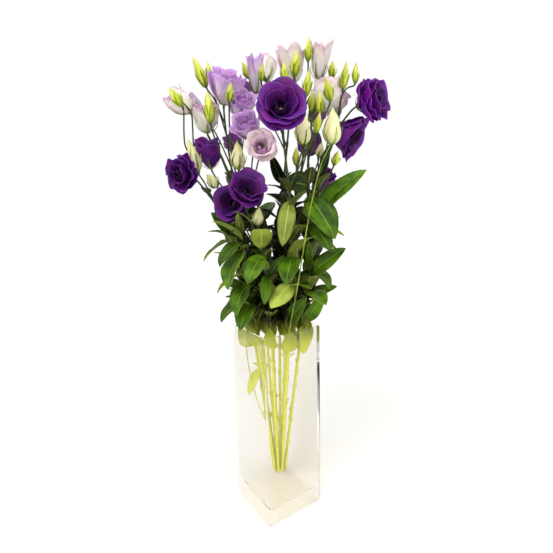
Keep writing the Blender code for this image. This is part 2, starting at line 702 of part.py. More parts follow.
def point_at(path, height):
    """The point of a stem at a height."""
    k = int(np.argmax(path[:, 2] >= height))
    low, high = path[k - 1], path[k]
    return low + (high - low) * (height - low[2]) / (high[2] - low[2])


def build_leaf(leaf, grown, parent):
    """A large leaf, standing clear of the stem that it clasps."""
    vertices, faces = leaf_shape(leaf_base(leaf, grown), leaf, 5, 2)
    return facing_out(add_object(leaf.name, vertices, faces, "leaf", parent))


def clear_scene():
    for shape in list(bpy.data.objects):
        bpy.data.objects.remove(shape)


def main():
    clear_scene()
    build_vase()
    bunch = bpy.data.objects.new("bunch", None)
    bunch.rotation_euler.z = math.radians(BUNCH_TURN)
    bpy.context.scene.collection.objects.link(bunch)
    grown = grow()
    small_leaves = SMALL_LEAVES + habit_leaves(grown)
    for stem in SEATS:
        build_stem(stem, grown, small_leaves, bunch)
    for head in HEADS:
        build_head(head, bunch)
    for leaf in LEAVES:
        build_leaf(leaf, grown, bunch)


main()
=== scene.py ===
"""Lisianthus in a square glass vase: the looks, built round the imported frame.

The bunch's layout repeats the CAD's own rules, so every stem, bud and leaf lies where its solid lies: first
the stems grow and settle, then the leaves that follow the plant's habit find their places. Lengths in the
layout are in mm and in the bunch's own axes (x across, y away from the front, z up); the meshes are in
metres and turned with the bunch.
"""
import math
from collections import namedtuple

import bmesh
import bpy
import numpy as np
from mathutils import Matrix, Vector
from mathutils.kdtree import KDTree


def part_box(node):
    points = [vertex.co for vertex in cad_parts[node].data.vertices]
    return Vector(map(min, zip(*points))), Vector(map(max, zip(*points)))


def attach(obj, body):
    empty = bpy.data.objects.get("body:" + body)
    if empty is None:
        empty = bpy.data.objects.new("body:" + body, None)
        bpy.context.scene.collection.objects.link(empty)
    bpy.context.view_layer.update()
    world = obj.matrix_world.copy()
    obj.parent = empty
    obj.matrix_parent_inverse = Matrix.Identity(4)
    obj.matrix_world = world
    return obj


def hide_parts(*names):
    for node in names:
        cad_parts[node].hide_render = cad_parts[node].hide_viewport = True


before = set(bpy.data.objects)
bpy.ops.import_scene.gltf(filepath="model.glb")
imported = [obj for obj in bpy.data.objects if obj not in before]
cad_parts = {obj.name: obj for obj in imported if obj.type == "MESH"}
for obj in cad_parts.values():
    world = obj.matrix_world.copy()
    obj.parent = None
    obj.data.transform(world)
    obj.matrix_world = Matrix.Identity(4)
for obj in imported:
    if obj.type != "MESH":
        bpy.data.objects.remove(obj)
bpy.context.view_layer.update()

MM = 0.001
BODY = "root"

# ---------------------------------------------------------------- the layout, as in the CAD

GAP = 1.2  # clearance between a stem and the bloom or leaf that grows on it, in mm

# The vase, in metres
VASE_WALL = 0.004
VASE_BASE = 0.022

# The bunch, in mm and degrees: it is turned in its vase, and its stems stand within an oval that has a
# centre and a spread at their feet, at the vase's mouth and at the shoulder where they start to part
BUNCH_TURN = -33.8
FOOT_HEIGHT = VASE_BASE / MM + GAP
FOOT_CENTRE = (2, 38)
FOOT_SPREAD = (9.5, 9.5)
MOUTH_HEIGHT = 300  # just under the vase's rim
MOUTH_CENTRE = (5, 0)
MOUTH_SPREAD = (42, 25)  # the outer stems lean into the vase's left and right corners
SHOULDER_HEIGHT = 420
SHOULDER_CENTRE = (4, 0)
SHOULDER_SPREAD = (58, 56)
STEM_RADIUS = 2.3
NECK_RADIUS = 1.3  # of a stem where it meets its head
SHOOT_RADIUS = 1.1
STEM_POINTS = 21
SHOOT_POINTS = 9
LEAF_FOLD = 0.25  # how far a blade's edges rise above its midrib, as a share of its half width
LEAF_CLEAR = 2.2  # from a stem's skin to the base of a large leaf
BLADE_ALONG, BLADE_ACROSS = 10, 6

# How the stems settle, in mm and in points: a point every few mm, pushed aside where it comes too near
POINT_SPACING = 6
LOWER_POINTS = 66
UPPER_POINTS = 28
LOWEST_SHOOT = 345  # the least height at which a shoot leaves its stem
SHOOT_RISE = 40  # from there up to its head
SHOOT_SLANT = 0.9  # how much lower it leaves for each mm that its head stands aside
CLEARANCE = 2.0
PINNED_POINTS = 2  # at a head, which stay where they are
ROOT_POINTS = 4  # of a shoot, which may touch the stem that it leaves
NEAR = 14
OPEN_REACH = 0.32  # half of the line inside an open head that pushes, as a share of its length
SETTLE_ROUNDS = 12
STEPS_PER_ROUND = 12
STEM_PUSH = 0.4
HEAD_PUSH = 0.5
STRAIGHTENING = 0.25

# How strongly a stem or shoot holds its direction at its start and at its head
START_HOLD = 0.7
LEADER_HOLD = 0.7
SHOOT_HOLD = 0.6
SHOOT_LEAN = 0.6
SHOOT_FEWEST = 6

Seat = namedtuple("Seat", "angle reach leader")
Head = namedtuple("Head", "name stem form at width length turn lift")
Leaf = namedtuple("Leaf", "name stem height tip width bow turn lift")

# Where each cut stem stands in the bunch: its angle round the middle (0 is to the right, 90 is away
# from the front), its distance from the middle as a share of the bunch's spread, and the head it ends in.
SEATS = {
    "stem_left": Seat(180, 1.0, "violet_bloom_left"),
    "stem_left_back": Seat(141, 1.0, "lilac_bloom_top_left"),
    "stem_back": Seat(101, 1.0, "violet_bloom_back"),
    "stem_right_back": Seat(60, 1.0, "violet_bloom_low_right"),
    "stem_right": Seat(18, 1.0, "violet_bloom_far_right"),
    "stem_right_front": Seat(-24, 1.0, "blush_bloom_right"),
    "stem_front_right": Seat(-64, 1.0, "violet_bloom_front"),
    "stem_front": Seat(-103, 1.0, "violet_bloom_low_front"),
    "stem_left_front": Seat(-143, 1.0, "violet_bloom_low_left"),
    "stem_middle_left": Seat(185, 0.42, "blush_bloom_left"),
    "stem_middle_back": Seat(75, 0.42, "blush_bloom_top"),
    "stem_middle_right": Seat(-40, 0.42, "blush_bud_top"),
}

# Every bloom and bud: its middle, its greatest width and its length in mm, then the way it faces:
# turn is 0 towards the front and 90 to the right, and lift is its angle above the horizontal.
HEADS = [
    Head("violet_bloom_front", "stem_front_right", "open", (16, -72, 608), 64, 38, 0, 10),
    Head("violet_bloom_low_left", "stem_left_front", "open", (-55, -22, 493), 50, 34, -25, 15),
    Head("violet_bloom_low_front", "stem_front", "open", (-31, -63, 508), 46, 38, 25, 40),
    Head("violet_bloom_left", "stem_left", "open", (-125, -18, 534), 54, 36, -30, 0),
    Head("violet_bloom_half_left", "stem_middle_left", "cup", (-91, 19, 566), 35, 44, -10, 72),
    Head("violet_bloom_back", "stem_back", "cup", (-57, 60, 583), 25, 36, 200, 35),
    Head("violet_bloom_far_right", "stem_right", "open", (143, -4, 629), 58, 42, 50, 10),
    Head("violet_bloom_right", "stem_right", "open", (117, 39, 596), 58, 46, 65, -20),
    Head("violet_bloom_low_right", "stem_right_back", "cup", (83, 40, 520), 31, 38, 0, 55),
    Head("violet_bloom_back_right", "stem_middle_right", "open", (62, 60, 582), 34, 34, 170, 25),
    Head("violet_bloom_back_top", "stem_back", "cup", (-40, 75, 665), 25, 32, 185, 35),
    Head("violet_bloom_back_far", "stem_right_back", "cup", (75, 90, 631), 26, 34, 140, 35),
    Head("lilac_bloom_top_left", "stem_left_back", "cup", (-61, 12, 655), 43, 46, 25, 62),
    Head("lilac_bloom_left", "stem_left_front", "cup", (-37, -7, 626), 33, 36, 10, 40),
    Head("lilac_bloom_middle", "stem_middle_back", "half", (-18, 20, 674), 22, 50, 0, 82),
    Head("lilac_bloom_front", "stem_front", "cup", (-28, -30, 593), 35, 36, -30, 35),
    Head("lilac_bloom_back", "stem_left_back", "cup", (-116, 50, 639), 25, 32, -125, 35),
    Head("blush_bloom_front", "stem_front", "open", (-10, -50, 566), 38, 34, 5, 15),
    Head("blush_bloom_far_left", "stem_left", "half", (-127, 5, 638), 36, 42, -75, 45),
    Head("blush_bloom_left", "stem_middle_left", "cup", (-94, 28, 618), 39, 42, -5, 80),
    Head("blush_bud_top", "stem_middle_right", "half", (76, 31, 693), 28, 48, 20, 78),
    Head("blush_bloom_top", "stem_middle_back", "half", (35, 45, 692), 38, 48, -10, 82),
    Head("blush_bloom_right", "stem_right_front", "open", (90, 28, 633), 56, 46, 120, 20),
    Head("blush_bloom_back", "stem_middle_back", "cup", (-3, 70, 694), 27, 42, 180, 55),
    Head("cream_bud_front", "stem_front_right", "bud", (47, -20, 590), 26, 40, 0, 84),
    Head("cream_bud_right", "stem_right_front", "bud", (87, -25, 592), 27, 46, 5, 86),
    Head("cream_bud_middle", "stem_left_front", "bud", (-44, -25, 557), 22, 36, 0, 84),
    Head("cream_bud_left", "stem_left", "bud", (-110, -3, 560), 19, 44, -60, 76),
    Head("cream_bud_low_left", "stem_middle_left", "bud", (-86, 5, 526), 18, 24, -50, 50),
    Head("cream_bud_low_front", "stem_front", "bud", (-17, -60, 474), 16, 24, 25, 72),
    Head("cream_bud_low_right", "stem_right_back", "bud", (76, 25, 568), 14, 20, 30, 70),
]

# Green buds grow as one piece with their stem.
GREEN_BUDS = [
    Head(f"green_bud_{number}", stem, "bud", *rest)
    for number, (stem, *rest) in enumerate([
        ("stem_left_back", (-97, 15, 677), 17, 40, -65, 66),
        ("stem_left_back", (-86, 30, 682), 10, 25, -30, 82),
        ("stem_left", (-124, -28, 635), 14, 28, -50, 50),
        ("stem_middle_left", (-80, -28, 620), 16, 38, -20, 84),
        ("stem_left_front", (-50, -36, 637), 12, 24, 25, 68),
        ("stem_back", (-33, 50, 689), 12, 24, -60, 60),
        ("stem_middle_back", (-8, 5, 673), 9, 20, 40, 74),
        ("stem_front_right", (23, 5, 672), 11, 25, 0, 86),
        ("stem_middle_right", (40, 10, 684), 16, 32, 30, 76),
        ("stem_middle_right", (59, 19, 705), 12, 28, 15, 82),
        ("stem_middle_right", (55, -5, 654), 13, 33, 30, 76),
        ("stem_right_front", (82, -20, 642), 14, 30, -30, 62),
        ("stem_right", (107, -3, 663), 13, 33, 35, 78),
        ("stem_right", (126, 15, 671), 10, 25, 10, 86),
        ("stem_right_back", (64, 20, 635), 13, 30, 0, 84),
        ("stem_right_front", (73, 0, 629), 12, 27, -20, 80),
        ("stem_right_back", (96, 40, 684), 13, 22, 0, 82),
        ("stem_front_right", (65, -45, 595), 11, 26, 35, 68),
        ("stem_middle_right", (39, 10, 558), 12, 25, 0, 84),
        ("stem_right_front", (95, -5, 553), 12, 20, 45, 70),
    ], start=1)
]


# The large leaves: the stem and the height in mm where each clasps it, its tip, its greatest width, how
# far its middle bows out of the straight line, and the way that its upper side faces, as for a head.
LEAVES = [
    Leaf("leaf_upper_right", "stem_right", 470, (140, -4, 536), 34, 9, -10, 42),
    Leaf("leaf_broad_right", "stem_right_front", 496, (88, -48, 440), 42, 8, 5, 20),
    Leaf("leaf_round_middle", "stem_right_front", 514, (20, -30, 521), 35, 4, 5, 15),
    Leaf("leaf_pale_middle", "stem_front_right", 494, (14, -80, 436), 25, -5, 180, -5),
    Leaf("leaf_broad_left", "stem_left_front", 426, (-62, -66, 376), 38, 6, -40, 5),
    Leaf("leaf_front_left", "stem_front", 422, (-34, -84, 387), 28, 5, -10, 30),
    Leaf("leaf_low_left", "stem_left_front", 376, (-52, -62, 338), 36, 6, -35, 25),
    Leaf("leaf_pointed_low", "stem_front", 392, (-12, -80, 358), 18, 4, 10, 10),
    Leaf("leaf_pale_low", "stem_front_right", 378, (-4, -78, 352), 29, -4, 180, -40),
    Leaf("leaf_right", "stem_right_front", 385, (107, -25, 425), 27, 6, 0, 35),
    Leaf("leaf_low_right", "stem_right", 345, (98, -5, 364), 19, 4, 0, 40),
    Leaf("leaf_mouth_right", "stem_right_front", 312, (76, -22, 357), 22, 6, 10, 10),
    Leaf("leaf_mouth_front", "stem_front_right", 318, (46, -64, 362), 24, 5, -20, 20),
    Leaf("leaf_inner_middle", "stem_middle_right", 440, (12, -38, 488), 28, 3, -5, 10),
    Leaf("leaf_inner_right", "stem_right_front", 462, (82, -52, 424), 30, 5, 10, 25),
    Leaf("leaf_in_mouth", "stem_right_front", 298, (43, -17, 260), 23, 3, 34, 3),
]

# Small leaves, each grown as one piece with its stem, given in the same way.
SMALL_LEAVES = [
    Leaf("bract_left", "stem_left", 450, (-86, -24, 481), 20, 5, -30, 40),
    Leaf("bract_inner", "stem_front", 388, (16, -50, 420), 15, 3, 0, 10),
    Leaf("bract_right", "stem_right_front", 400, (52, -40, 438), 12, 3, -10, 10),
    Leaf("bract_pale_left", "stem_left_front", 447, (-45, -52, 481), 14, -3, 170, -5),
    Leaf("bract_high_right", "stem_right", 528, (86, -15, 573), 14, 4, 0, 30),
    Leaf("bract_high_middle", "stem_middle_back", 520, (1, -8, 562), 18, 4, -15, 10),
]

# The other leaves follow the plant's habit: pairs up the stem, each pair a quarter turn from the last.
# Each blade turns to the nearest free space, and one that finds none is left out. In mm and degrees.
FIRST_PAIR = 348  # its height
PAIR_SPACING = 45
PAIRS = 3
PAIR_STAGGER = 12  # between the pairs of one stem and those of the next
HABIT_SIZES = [(54, 31), (40, 22)]
HABIT_LIFTS = [[35, 60, 5], [-35, -10, 25]]
HABIT_TURNS = [0, 25, -25, 50, -50, 75, -75]
HABIT_BOW = 5
HABIT_SAMPLES = 100  # points along each stem that the leaves keep clear of
HABIT_TILT = 80  # from the way a leaf rises to the way its upper side faces
FIRST_SIDE = 35
LEAF_ROOM = 4.2
STEM_ROOM = 3.2
LEAF_NEAR = 70  # leaves whose middles are further apart than this can't touch


def facing(turn, lift):
    """The unit vector that a head or a shoot points along, in the bunch's axes."""
    turn, lift = math.radians(turn), math.radians(lift)
    return np.array([
        math.sin(turn) * math.cos(lift),
        -math.cos(turn) * math.cos(lift),
        math.sin(lift),
    ])


def heel(head):
    """Where a head sits on its shoot."""
    return np.array(head.at, float) - facing(head.turn, head.lift) * head.length / 2


def seat_point(seat, height):
    """Where a stem in this seat passes a height, below the shoulder where the bunch starts to open."""
    centres = [FOOT_CENTRE, MOUTH_CENTRE, SHOULDER_CENTRE]
    spreads = [FOOT_SPREAD, MOUTH_SPREAD, SHOULDER_SPREAD]
    levels = [FOOT_HEIGHT, MOUTH_HEIGHT, SHOULDER_HEIGHT]
    angle = math.radians(seat.angle)
    around = (math.cos(angle), math.sin(angle))
    place = [
        np.interp(height, levels, [centre[k] + spread[k] * seat.reach * around[k]
                                   for centre, spread in zip(centres, spreads)])
        for k in range(2)
    ]
    return np.array([*place, height])


def hermite(start, start_slope, end, end_slope, count):
    """Points on the cubic that leaves start along start_slope and reaches end along end_slope."""
    t = np.linspace(0, 1, count)[:, None]
    return (
        (2 * t**3 - 3 * t**2 + 1) * start
        + (t**3 - 2 * t**2 + t) * start_slope
        + (3 * t**2 - 2 * t**3) * end
        + (t**3 - t**2) * end_slope
    )


def main_path(stem):
    """A cut stem from its foot to the heel of the head that it ends in."""
    seat = SEATS[stem]
    levels = np.linspace(FOOT_HEIGHT, SHOULDER_HEIGHT, LOWER_POINTS)
    lower = np.array([seat_point(seat, level) for level in levels])
    leader = next(head for head in HEADS if head.name == seat.leader)
    end = heel(leader)
    reach = np.linalg.norm(end - lower[-1])
    upper = hermite(
        lower[-1],
        reach * direction(lower[-2], lower[-1]),
        end,
        reach * LEADER_HOLD * facing(leader.turn, leader.lift),
        UPPER_POINTS,
    )
    return np.vstack([lower, upper[1:]])


def direction(start, end):
    """The unit vector from start to end."""
    return (end - start) / np.linalg.norm(end - start)


def shoot_root(path, end):
    """Which point of a stem the shoot to this heel leaves from: lower for a heel further to the side."""
    level = max(LOWEST_SHOOT, end[2] - SHOOT_RISE)
    for _ in range(3):
        k = int(np.argmin(np.abs(path[:, 2] - level)))
        aside = np.linalg.norm(end[:2] - path[k, :2])
        level = max(LOWEST_SHOOT, end[2] - SHOOT_RISE - aside * SHOOT_SLANT)
    return min(int(np.argmin(np.abs(path[:, 2] - level))), len(path) - 4)


def shoot_path(path, k, head):
    """A side shoot from point k of its stem to its head."""
    end = heel(head)
    reach = np.linalg.norm(end - path[k])
    start_way = direction(path[k - 1], path[k + 1]) + SHOOT_LEAN * direction(path[k], end)
    return hermite(
        path[k],
        reach * START_HOLD * start_way,
        end,
        reach * SHOOT_HOLD * facing(head.turn, head.lift),
        max(SHOOT_FEWEST, int(reach / POINT_SPACING)),
    )


def settled():
    """Every stem and shoot as {name: [points, k]}, settled; a shoot leaves its stem at point k."""
    grown = {}
    for stem in SEATS:
        grown[stem] = [main_path(stem), None]
    leaders = {seat.leader for seat in SEATS.values()}
    for head in HEADS + GREEN_BUDS:
        if head.name in leaders:
            continue
        path = grown[head.stem][0]
        k = shoot_root(path, heel(head))
        grown[head.name] = [shoot_path(path, k, head), k]
    settle(grown)
    return grown


def trimmed(name, grown):
    """The few points that a stem or shoot is built from; a shoot starts on its stem's own line."""
    points, k = grown[name]
    if k is None:
        return thinned(points, STEM_POINTS)
    line = thinned(points, SHOOT_POINTS)
    line[0] = point_at(thinned(grown[stem_of(name)][0], STEM_POINTS), points[0, 2])
    return line


def settle(grown):
    """Stems, shoots and heads push each other aside until they lie clear, as they do in a full vase."""
    heads = {head.name: head for head in HEADS + GREEN_BUDS}
    names = list(grown)
    starts = np.cumsum([0] + [len(grown[n][0]) for n in names])
    line = np.concatenate([np.full(len(grown[n][0]), i) for i, n in enumerate(names)])
    step = np.concatenate([np.arange(len(grown[n][0])) for n in names])
    radius = np.where(np.array([names[i] in SEATS for i in line]), STEM_RADIUS, SHOOT_RADIUS)
    family = np.array([list(SEATS).index(n if n in SEATS else heads[n].stem) for n in names])[line]
    near_stem = np.array([n in SEATS for n in names])[line] | (step < ROOT_POINTS)
    ends_in = np.array([SEATS[n].leader if n in SEATS else n for n in names])[line]
    held = (step == 0) | (step >= np.diff(starts)[line] - PINNED_POINTS)
    points = np.vstack([grown[n][0] for n in names])
    for _ in range(SETTLE_ROUNDS):
        first, second = close_pairs(points)
        joined = (family[first] == family[second]) & near_stem[first] & near_stem[second]
        kept = (line[first] != line[second]) & ~joined
        first, second = first[kept], second[kept]
        need = radius[first] + radius[second] + CLEARANCE
        for _ in range(STEPS_PER_ROUND):
            gap = points[first] - points[second]
            distance = np.linalg.norm(gap, axis=1) + 1e-9
            part = gap * (STEM_PUSH * np.maximum(0, need - distance) / distance)[:, None]
            push = np.zeros_like(points)
            np.add.at(push, first, part)
            np.add.at(push, second, -part)
            for head in heads.values():
                push += pushed_by(head, points, radius, ends_in != head.name)
            bend = np.zeros_like(points)
            bend[1:-1] = (points[:-2] + points[2:]) / 2 - points[1:-1]
            points[~held] += push[~held] + STRAIGHTENING * bend[~held]
            for i, name in enumerate(names):
                if name not in SEATS:
                    points[starts[i]] = points[starts[names.index(heads[name].stem)] + grown[name][1]]
    for i, name in enumerate(names):
        grown[name][0] = points[starts[i]:starts[i + 1]]


def close_pairs(points):
    """Every pair of points near enough to touch before the next round."""
    tree = KDTree(len(points))
    for i, point in enumerate(points):
        tree.insert(point, i)
    tree.balance()
    pairs = [
        (i, j)
        for i, point in enumerate(points)
        for _, j, _ in tree.find_range(point, NEAR)
        if i < j
    ]
    return np.array(pairs).T


def pushed_by(head, points, radius, free):
    """How a head pushes the stems that crowd it, as one push for each point that is free to move."""
    half = OPEN_REACH * head.length if head.form != "bud" else (head.length - head.width) / 2
    way = facing(head.turn, head.lift)
    offset = points - np.array(head.at, float)
    offset -= np.clip(offset @ way, -half, half)[:, None] * way
    distance = np.linalg.norm(offset, axis=1) + 1e-9
    depth = np.maximum(0, head.width / 2 + radius + CLEARANCE - distance) * free
    return offset * (HEAD_PUSH * depth / distance)[:, None]


def thinned(points, count):
    """The same line with this many points, evenly along it."""
    steps = np.linalg.norm(np.diff(points, axis=0), axis=1)
    walked = np.concatenate([[0], np.cumsum(steps)])
    wanted = np.linspace(0, walked[-1], count)
    return np.stack([np.interp(wanted, walked, points[:, k]) for k in range(3)], axis=1)


def leaf_base(leaf, grown):
    """Where a leaf meets its stem: a separate blade stands clear of it, a joined one starts inside it."""
    path = grown[leaf.stem]
    centre = point_at(path, leaf.height)
    away = np.array(leaf.tip, float) - centre
    along = direction(centre, point_at(path, leaf.height + 5))
    away -= along * (away @ along)
    clear = STEM_RADIUS + LEAF_CLEAR if leaf in LEAVES else 0
    return centre + away / np.linalg.norm(away) * clear


def habit_leaves(grown):
    """The leaves that follow the plant's habit, each turned to free space, as joined leaves."""
    lines = {name: thinned(path, HABIT_SAMPLES) for name, path in grown.items()}
    stems = KDTree(len(lines) * HABIT_SAMPLES)
    owners = []
    for name, path in lines.items():
        for point in path:
            stems.insert(point, len(owners))
            owners.append(name if name in SEATS else stem_of(name))
    stems.balance()
    taken = [blade(leaf_base(leaf, grown), leaf) for leaf in LEAVES + SMALL_LEAVES]
    added = []
    for order, stem in enumerate(SEATS):
        for pair in range(PAIRS):
            height = FIRST_PAIR + pair * PAIR_SPACING + (order * 5 % 4) * PAIR_STAGGER
            start = point_at(grown[stem], height)
            outward = SEATS[stem].angle + 90
            for side in range(2):
                turn = outward + (90 if pair % 2 else FIRST_SIDE) * (1 if side else -1)
                name = f"{stem}_leaf_{pair}{side}"
                lifts = HABIT_LIFTS[(pair + side) % 2]
                found = free_leaf(name, stem, height, start, turn, lifts, stems, owners, taken)
                if found:
                    added.append(found)
                    taken.append(blade(start, found))
    return added


def stem_of(name):
    """The stem that a head grows on."""
    return next(head.stem for head in HEADS + GREEN_BUDS if head.name == name)


def free_leaf(name, stem, height, start, turn, lifts, stems, owners, taken):
    """The first leaf near this turn that clears the stems, heads and leaves around it, or None."""
    for length, width in HABIT_SIZES:
        for lift in lifts:
            for aside in HABIT_TURNS:
                tip = start + length * facing(turn + aside, lift)
                face = lift + HABIT_TILT
                leaf = Leaf(name, stem, height, tuple(tip), width, HABIT_BOW, turn + aside, face)
                points = blade(start, leaf)
                if leaf_is_free(points, stem, stems, owners, taken):
                    return leaf
    return None


def leaf_is_free(points, stem, stems, owners, taken):
    """Whether a blade's points keep their distance from other stems, from heads and from other leaves."""
    row = BLADE_ACROSS + 1
    outer = points[2 * row:]
    for point in points:
        for _, i, _ in stems.find_range(point, STEM_RADIUS + STEM_ROOM):
            if owners[i] != stem:
                return False
    for point in points[3 * row:]:
        if stems.find(point)[2] < STEM_RADIUS + STEM_ROOM:
            return False
    for head in HEADS + GREEN_BUDS:
        if np.any(pushed_by(head, points, LEAF_ROOM - CLEARANCE, True)):
            return False
    centre = points.mean(axis=0)
    for other in taken:
        if np.linalg.norm(other.mean(axis=0) - centre) > LEAF_NEAR:
            continue
        gaps = np.linalg.norm(outer[:, None] - other[None], axis=2)
        if gaps.min() < LEAF_ROOM:
            return False
    return True


def point_at(path, height):
    """The point of a stem at a height."""
    k = int(np.argmax(path[:, 2] >= height))
    low, high = path[k - 1], path[k]
    return low + (high - low) * (height - low[2]) / (high[2] - low[2])


def leaf_axes(base, leaf):
    """The unit vectors along a leaf, out of its upper side and across it, and its length."""
    tip = np.array(leaf.tip, float)
    axis = direction(base, tip)
    normal = facing(leaf.turn, leaf.lift)
    normal = normal - axis * (normal @ axis)
    normal /= np.linalg.norm(normal)
    return axis, normal, np.cross(axis, normal), np.linalg.norm(tip - base)


def blade(base, leaf):
    """The middle surface of a leaf as rows of points from base to tip, bowed along its length and slightly
    folded up its midrib."""
    axis, normal, side, length = leaf_axes(base, leaf)
    t = np.linspace(0.02, 0.98, BLADE_ALONG + 1)[:, None, None]
    s = np.linspace(-1, 1, BLADE_ACROSS + 1)[None, :, None]
    half = leaf.width / 2 * blade_width(t)
    rows = (
        base
        + axis * length * t
        + normal * (leaf.bow * 4 * t * (1 - t) + LEAF_FOLD * half * abs(s))
        + side * half * s
    )
    return rows.reshape(-1, 3)


def blade_width(t):
    """A leaf's width along its length, as a share of its greatest: broad below the middle, then a point."""
    return np.maximum(0.07, 2.37 * t**0.7 * (1 - t) ** 0.72 * (1 + 0.25 * t))


# ---------------------------------------------------------------- materials

def srgb(code, alpha=1.0):
    """A linear colour from an sRGB hex value."""
    parts = [int(code[k:k + 2], 16) / 255 for k in (1, 3, 5)]
    return (*[c / 12.92 if c <= 0.04045 else ((c + 0.055) / 1.055) ** 2.4 for c in parts], alpha)


def add(tree, kind, inputs=None, stops=None, **settings):
    """A node with its settings, its socket values or links, and the stops of its ramp."""
    made = tree.nodes.new(kind)
    for key, value in settings.items():
        setattr(made, key, value)
    for key, value in (inputs or {}).items():
        if isinstance(value, bpy.types.NodeSocket):
            tree.links.new(value, made.inputs[key])
        else:
            made.inputs[key].default_value = value
    if stops:
        ramp = made.color_ramp
        while len(ramp.elements) < len(stops):
            ramp.elements.new(1.0)
        for element, (place, colour) in zip(ramp.elements, stops):
            element.position = place
            element.color = colour
    return made


def blank(name):
    """A material with nothing but its output, and its node tree."""
    made = bpy.data.materials.new(name)
    made.use_nodes = True
    made.node_tree.nodes.clear()
    return made, made.node_tree, made.node_tree.nodes.new("ShaderNodeOutputMaterial")


# Sizes of the patterns in the plant's skins, in metres, and how many veins cross a petal
FLUSH_SIZE = 0.016
CLOUD_SIZE = 0.018
RIB_WIDTH = 0.0015
RIB_LENGTH = 0.018
PETAL_VEINS = 40.0


def petal_skin(name, throat, body, rim, fleck, heart, roughness, glow, throat_to, rim_from):
    """Living petal: a film of cells like tiny domes, so it glows softly at a slant like velvet. Fine veins
    fan from the claw to the rim. The colour runs along the petal from throat to rim, with a flush of a
    second tone in broad soft patches, deepens towards the bloom's heart, and differs a little from petal
    to petal. On the violet blooms the near black throat and heart are painted shade in the bloom's hollow,
    and the paler rim is a painted highlight where the edges catch the light."""
    made, tree, out = blank(name)
    place = add(tree, "ShaderNodeUVMap", uv_map="petal").outputs[0]
    split = add(tree, "ShaderNodeSeparateXYZ", {0: place})
    # on the violet blooms the dark throat is painted shade and the pale rim a painted highlight
    along = add(tree, "ShaderNodeValToRGB", {0: split.outputs[1]}, stops=[
        (0.0, srgb(throat)), (throat_to, srgb(body)), (rim_from, srgb(body)), (1.0, srgb(rim)),
    ])
    where = add(tree, "ShaderNodeTexCoord").outputs["Object"]
    patch = add(tree, "ShaderNodeTexNoise", {"Vector": where, "Scale": 1 / FLUSH_SIZE, "Detail": 2.0})
    flushed = add(tree, "ShaderNodeMapRange", {0: patch.outputs[0], 1: 0.42, 2: 0.68, 3: 0.0, 4: 0.55})
    toned = add(tree, "ShaderNodeMix", {
        0: flushed.outputs[0], 6: along.outputs[0], 7: srgb(fleck),
    }, data_type="RGBA")
    # towards the heart: a deeper tone of the pale blooms' own, and painted shade in the violet blooms'
    # hollow
    depth = add(tree, "ShaderNodeAttribute", attribute_name="depth")
    deeper = add(tree, "ShaderNodeMapRange", {0: depth.outputs["Fac"], 1: 0.15, 3: 0.0, 4: 0.85})
    heart_and_shade = add(tree, "ShaderNodeMix", {
        0: deeper.outputs[0], 6: toned.outputs[2], 7: srgb(heart),
    }, data_type="RGBA")
    # each petal's own tone, shifted on the low blooms by painted shade and on the far right bloom by
    # painted light
    shade = add(tree, "ShaderNodeAttribute", attribute_name="shade")
    level = add(tree, "ShaderNodeMapRange", {0: shade.outputs["Fac"], 3: 0.5, 4: 1.5})
    # fine veins side by side across the petal, each running nearly its full length
    stretched = add(tree, "ShaderNodeMapping", {"Vector": place, "Scale": (PETAL_VEINS, 2.2, 1.0)})
    veins = add(tree, "ShaderNodeTexNoise", {"Vector": stretched.outputs[0], "Scale": 1.0, "Detail": 3.0})
    inked = add(tree, "ShaderNodeMapRange", {
        0: veins.outputs[0], 1: 0.35, 2: 0.65, 3: 0.86, 4: 1.06,
    })
    strength = add(tree, "ShaderNodeMath", {0: level.outputs[0], 1: inked.outputs[0]}, operation="MULTIPLY")
    colour = add(tree, "ShaderNodeMix", {
        0: 1.0, 6: heart_and_shade.outputs[2], 7: strength.outputs[0],
    }, data_type="RGBA", blend_type="MULTIPLY")
    crinkle = add(tree, "ShaderNodeBump", {
        "Height": veins.outputs[0], "Strength": 0.35, "Distance": 0.0006,
    })
    shader = add(tree, "ShaderNodeBsdfPrincipled", {
        "Base Color": colour.outputs[2],
        "Roughness": roughness,
        "IOR": 1.42,
        "Specular IOR Level": 0.35,
        "Sheen Weight": 0.35,
        "Sheen Roughness": 0.45,
        "Sheen Tint": srgb(rim),
        "Subsurface Weight": glow,
        "Subsurface Radius": (0.003, 0.002, 0.003),
        "Subsurface Scale": 0.6,
        "Normal": crinkle.outputs[0],
    })
    tree.links.new(shader.outputs[0], out.inputs[0])
    return made


# Heights in metres between which stems and low leaves pass from pale lime, where light reaches them
# through the glass from every side, to full green.
LIME_BELOW = 0.272
GREEN_ABOVE = 0.318


def by_height(tree, low_colour, high_colour):
    """A colour that turns from one to the other over the vase's mouth."""
    where = add(tree, "ShaderNodeTexCoord").outputs["Object"]
    split = add(tree, "ShaderNodeSeparateXYZ", {0: where})
    rise = add(tree, "ShaderNodeMapRange", {0: split.outputs[2], 1: LIME_BELOW, 2: GREEN_ABOVE})
    # painted light: the lime below the vase's mouth stands for the light that reaches inside through the
    # glass
    return add(tree, "ShaderNodeMix", {
        0: rise.outputs[0], 6: low_colour, 7: high_colour,
    }, data_type="RGBA").outputs[2]


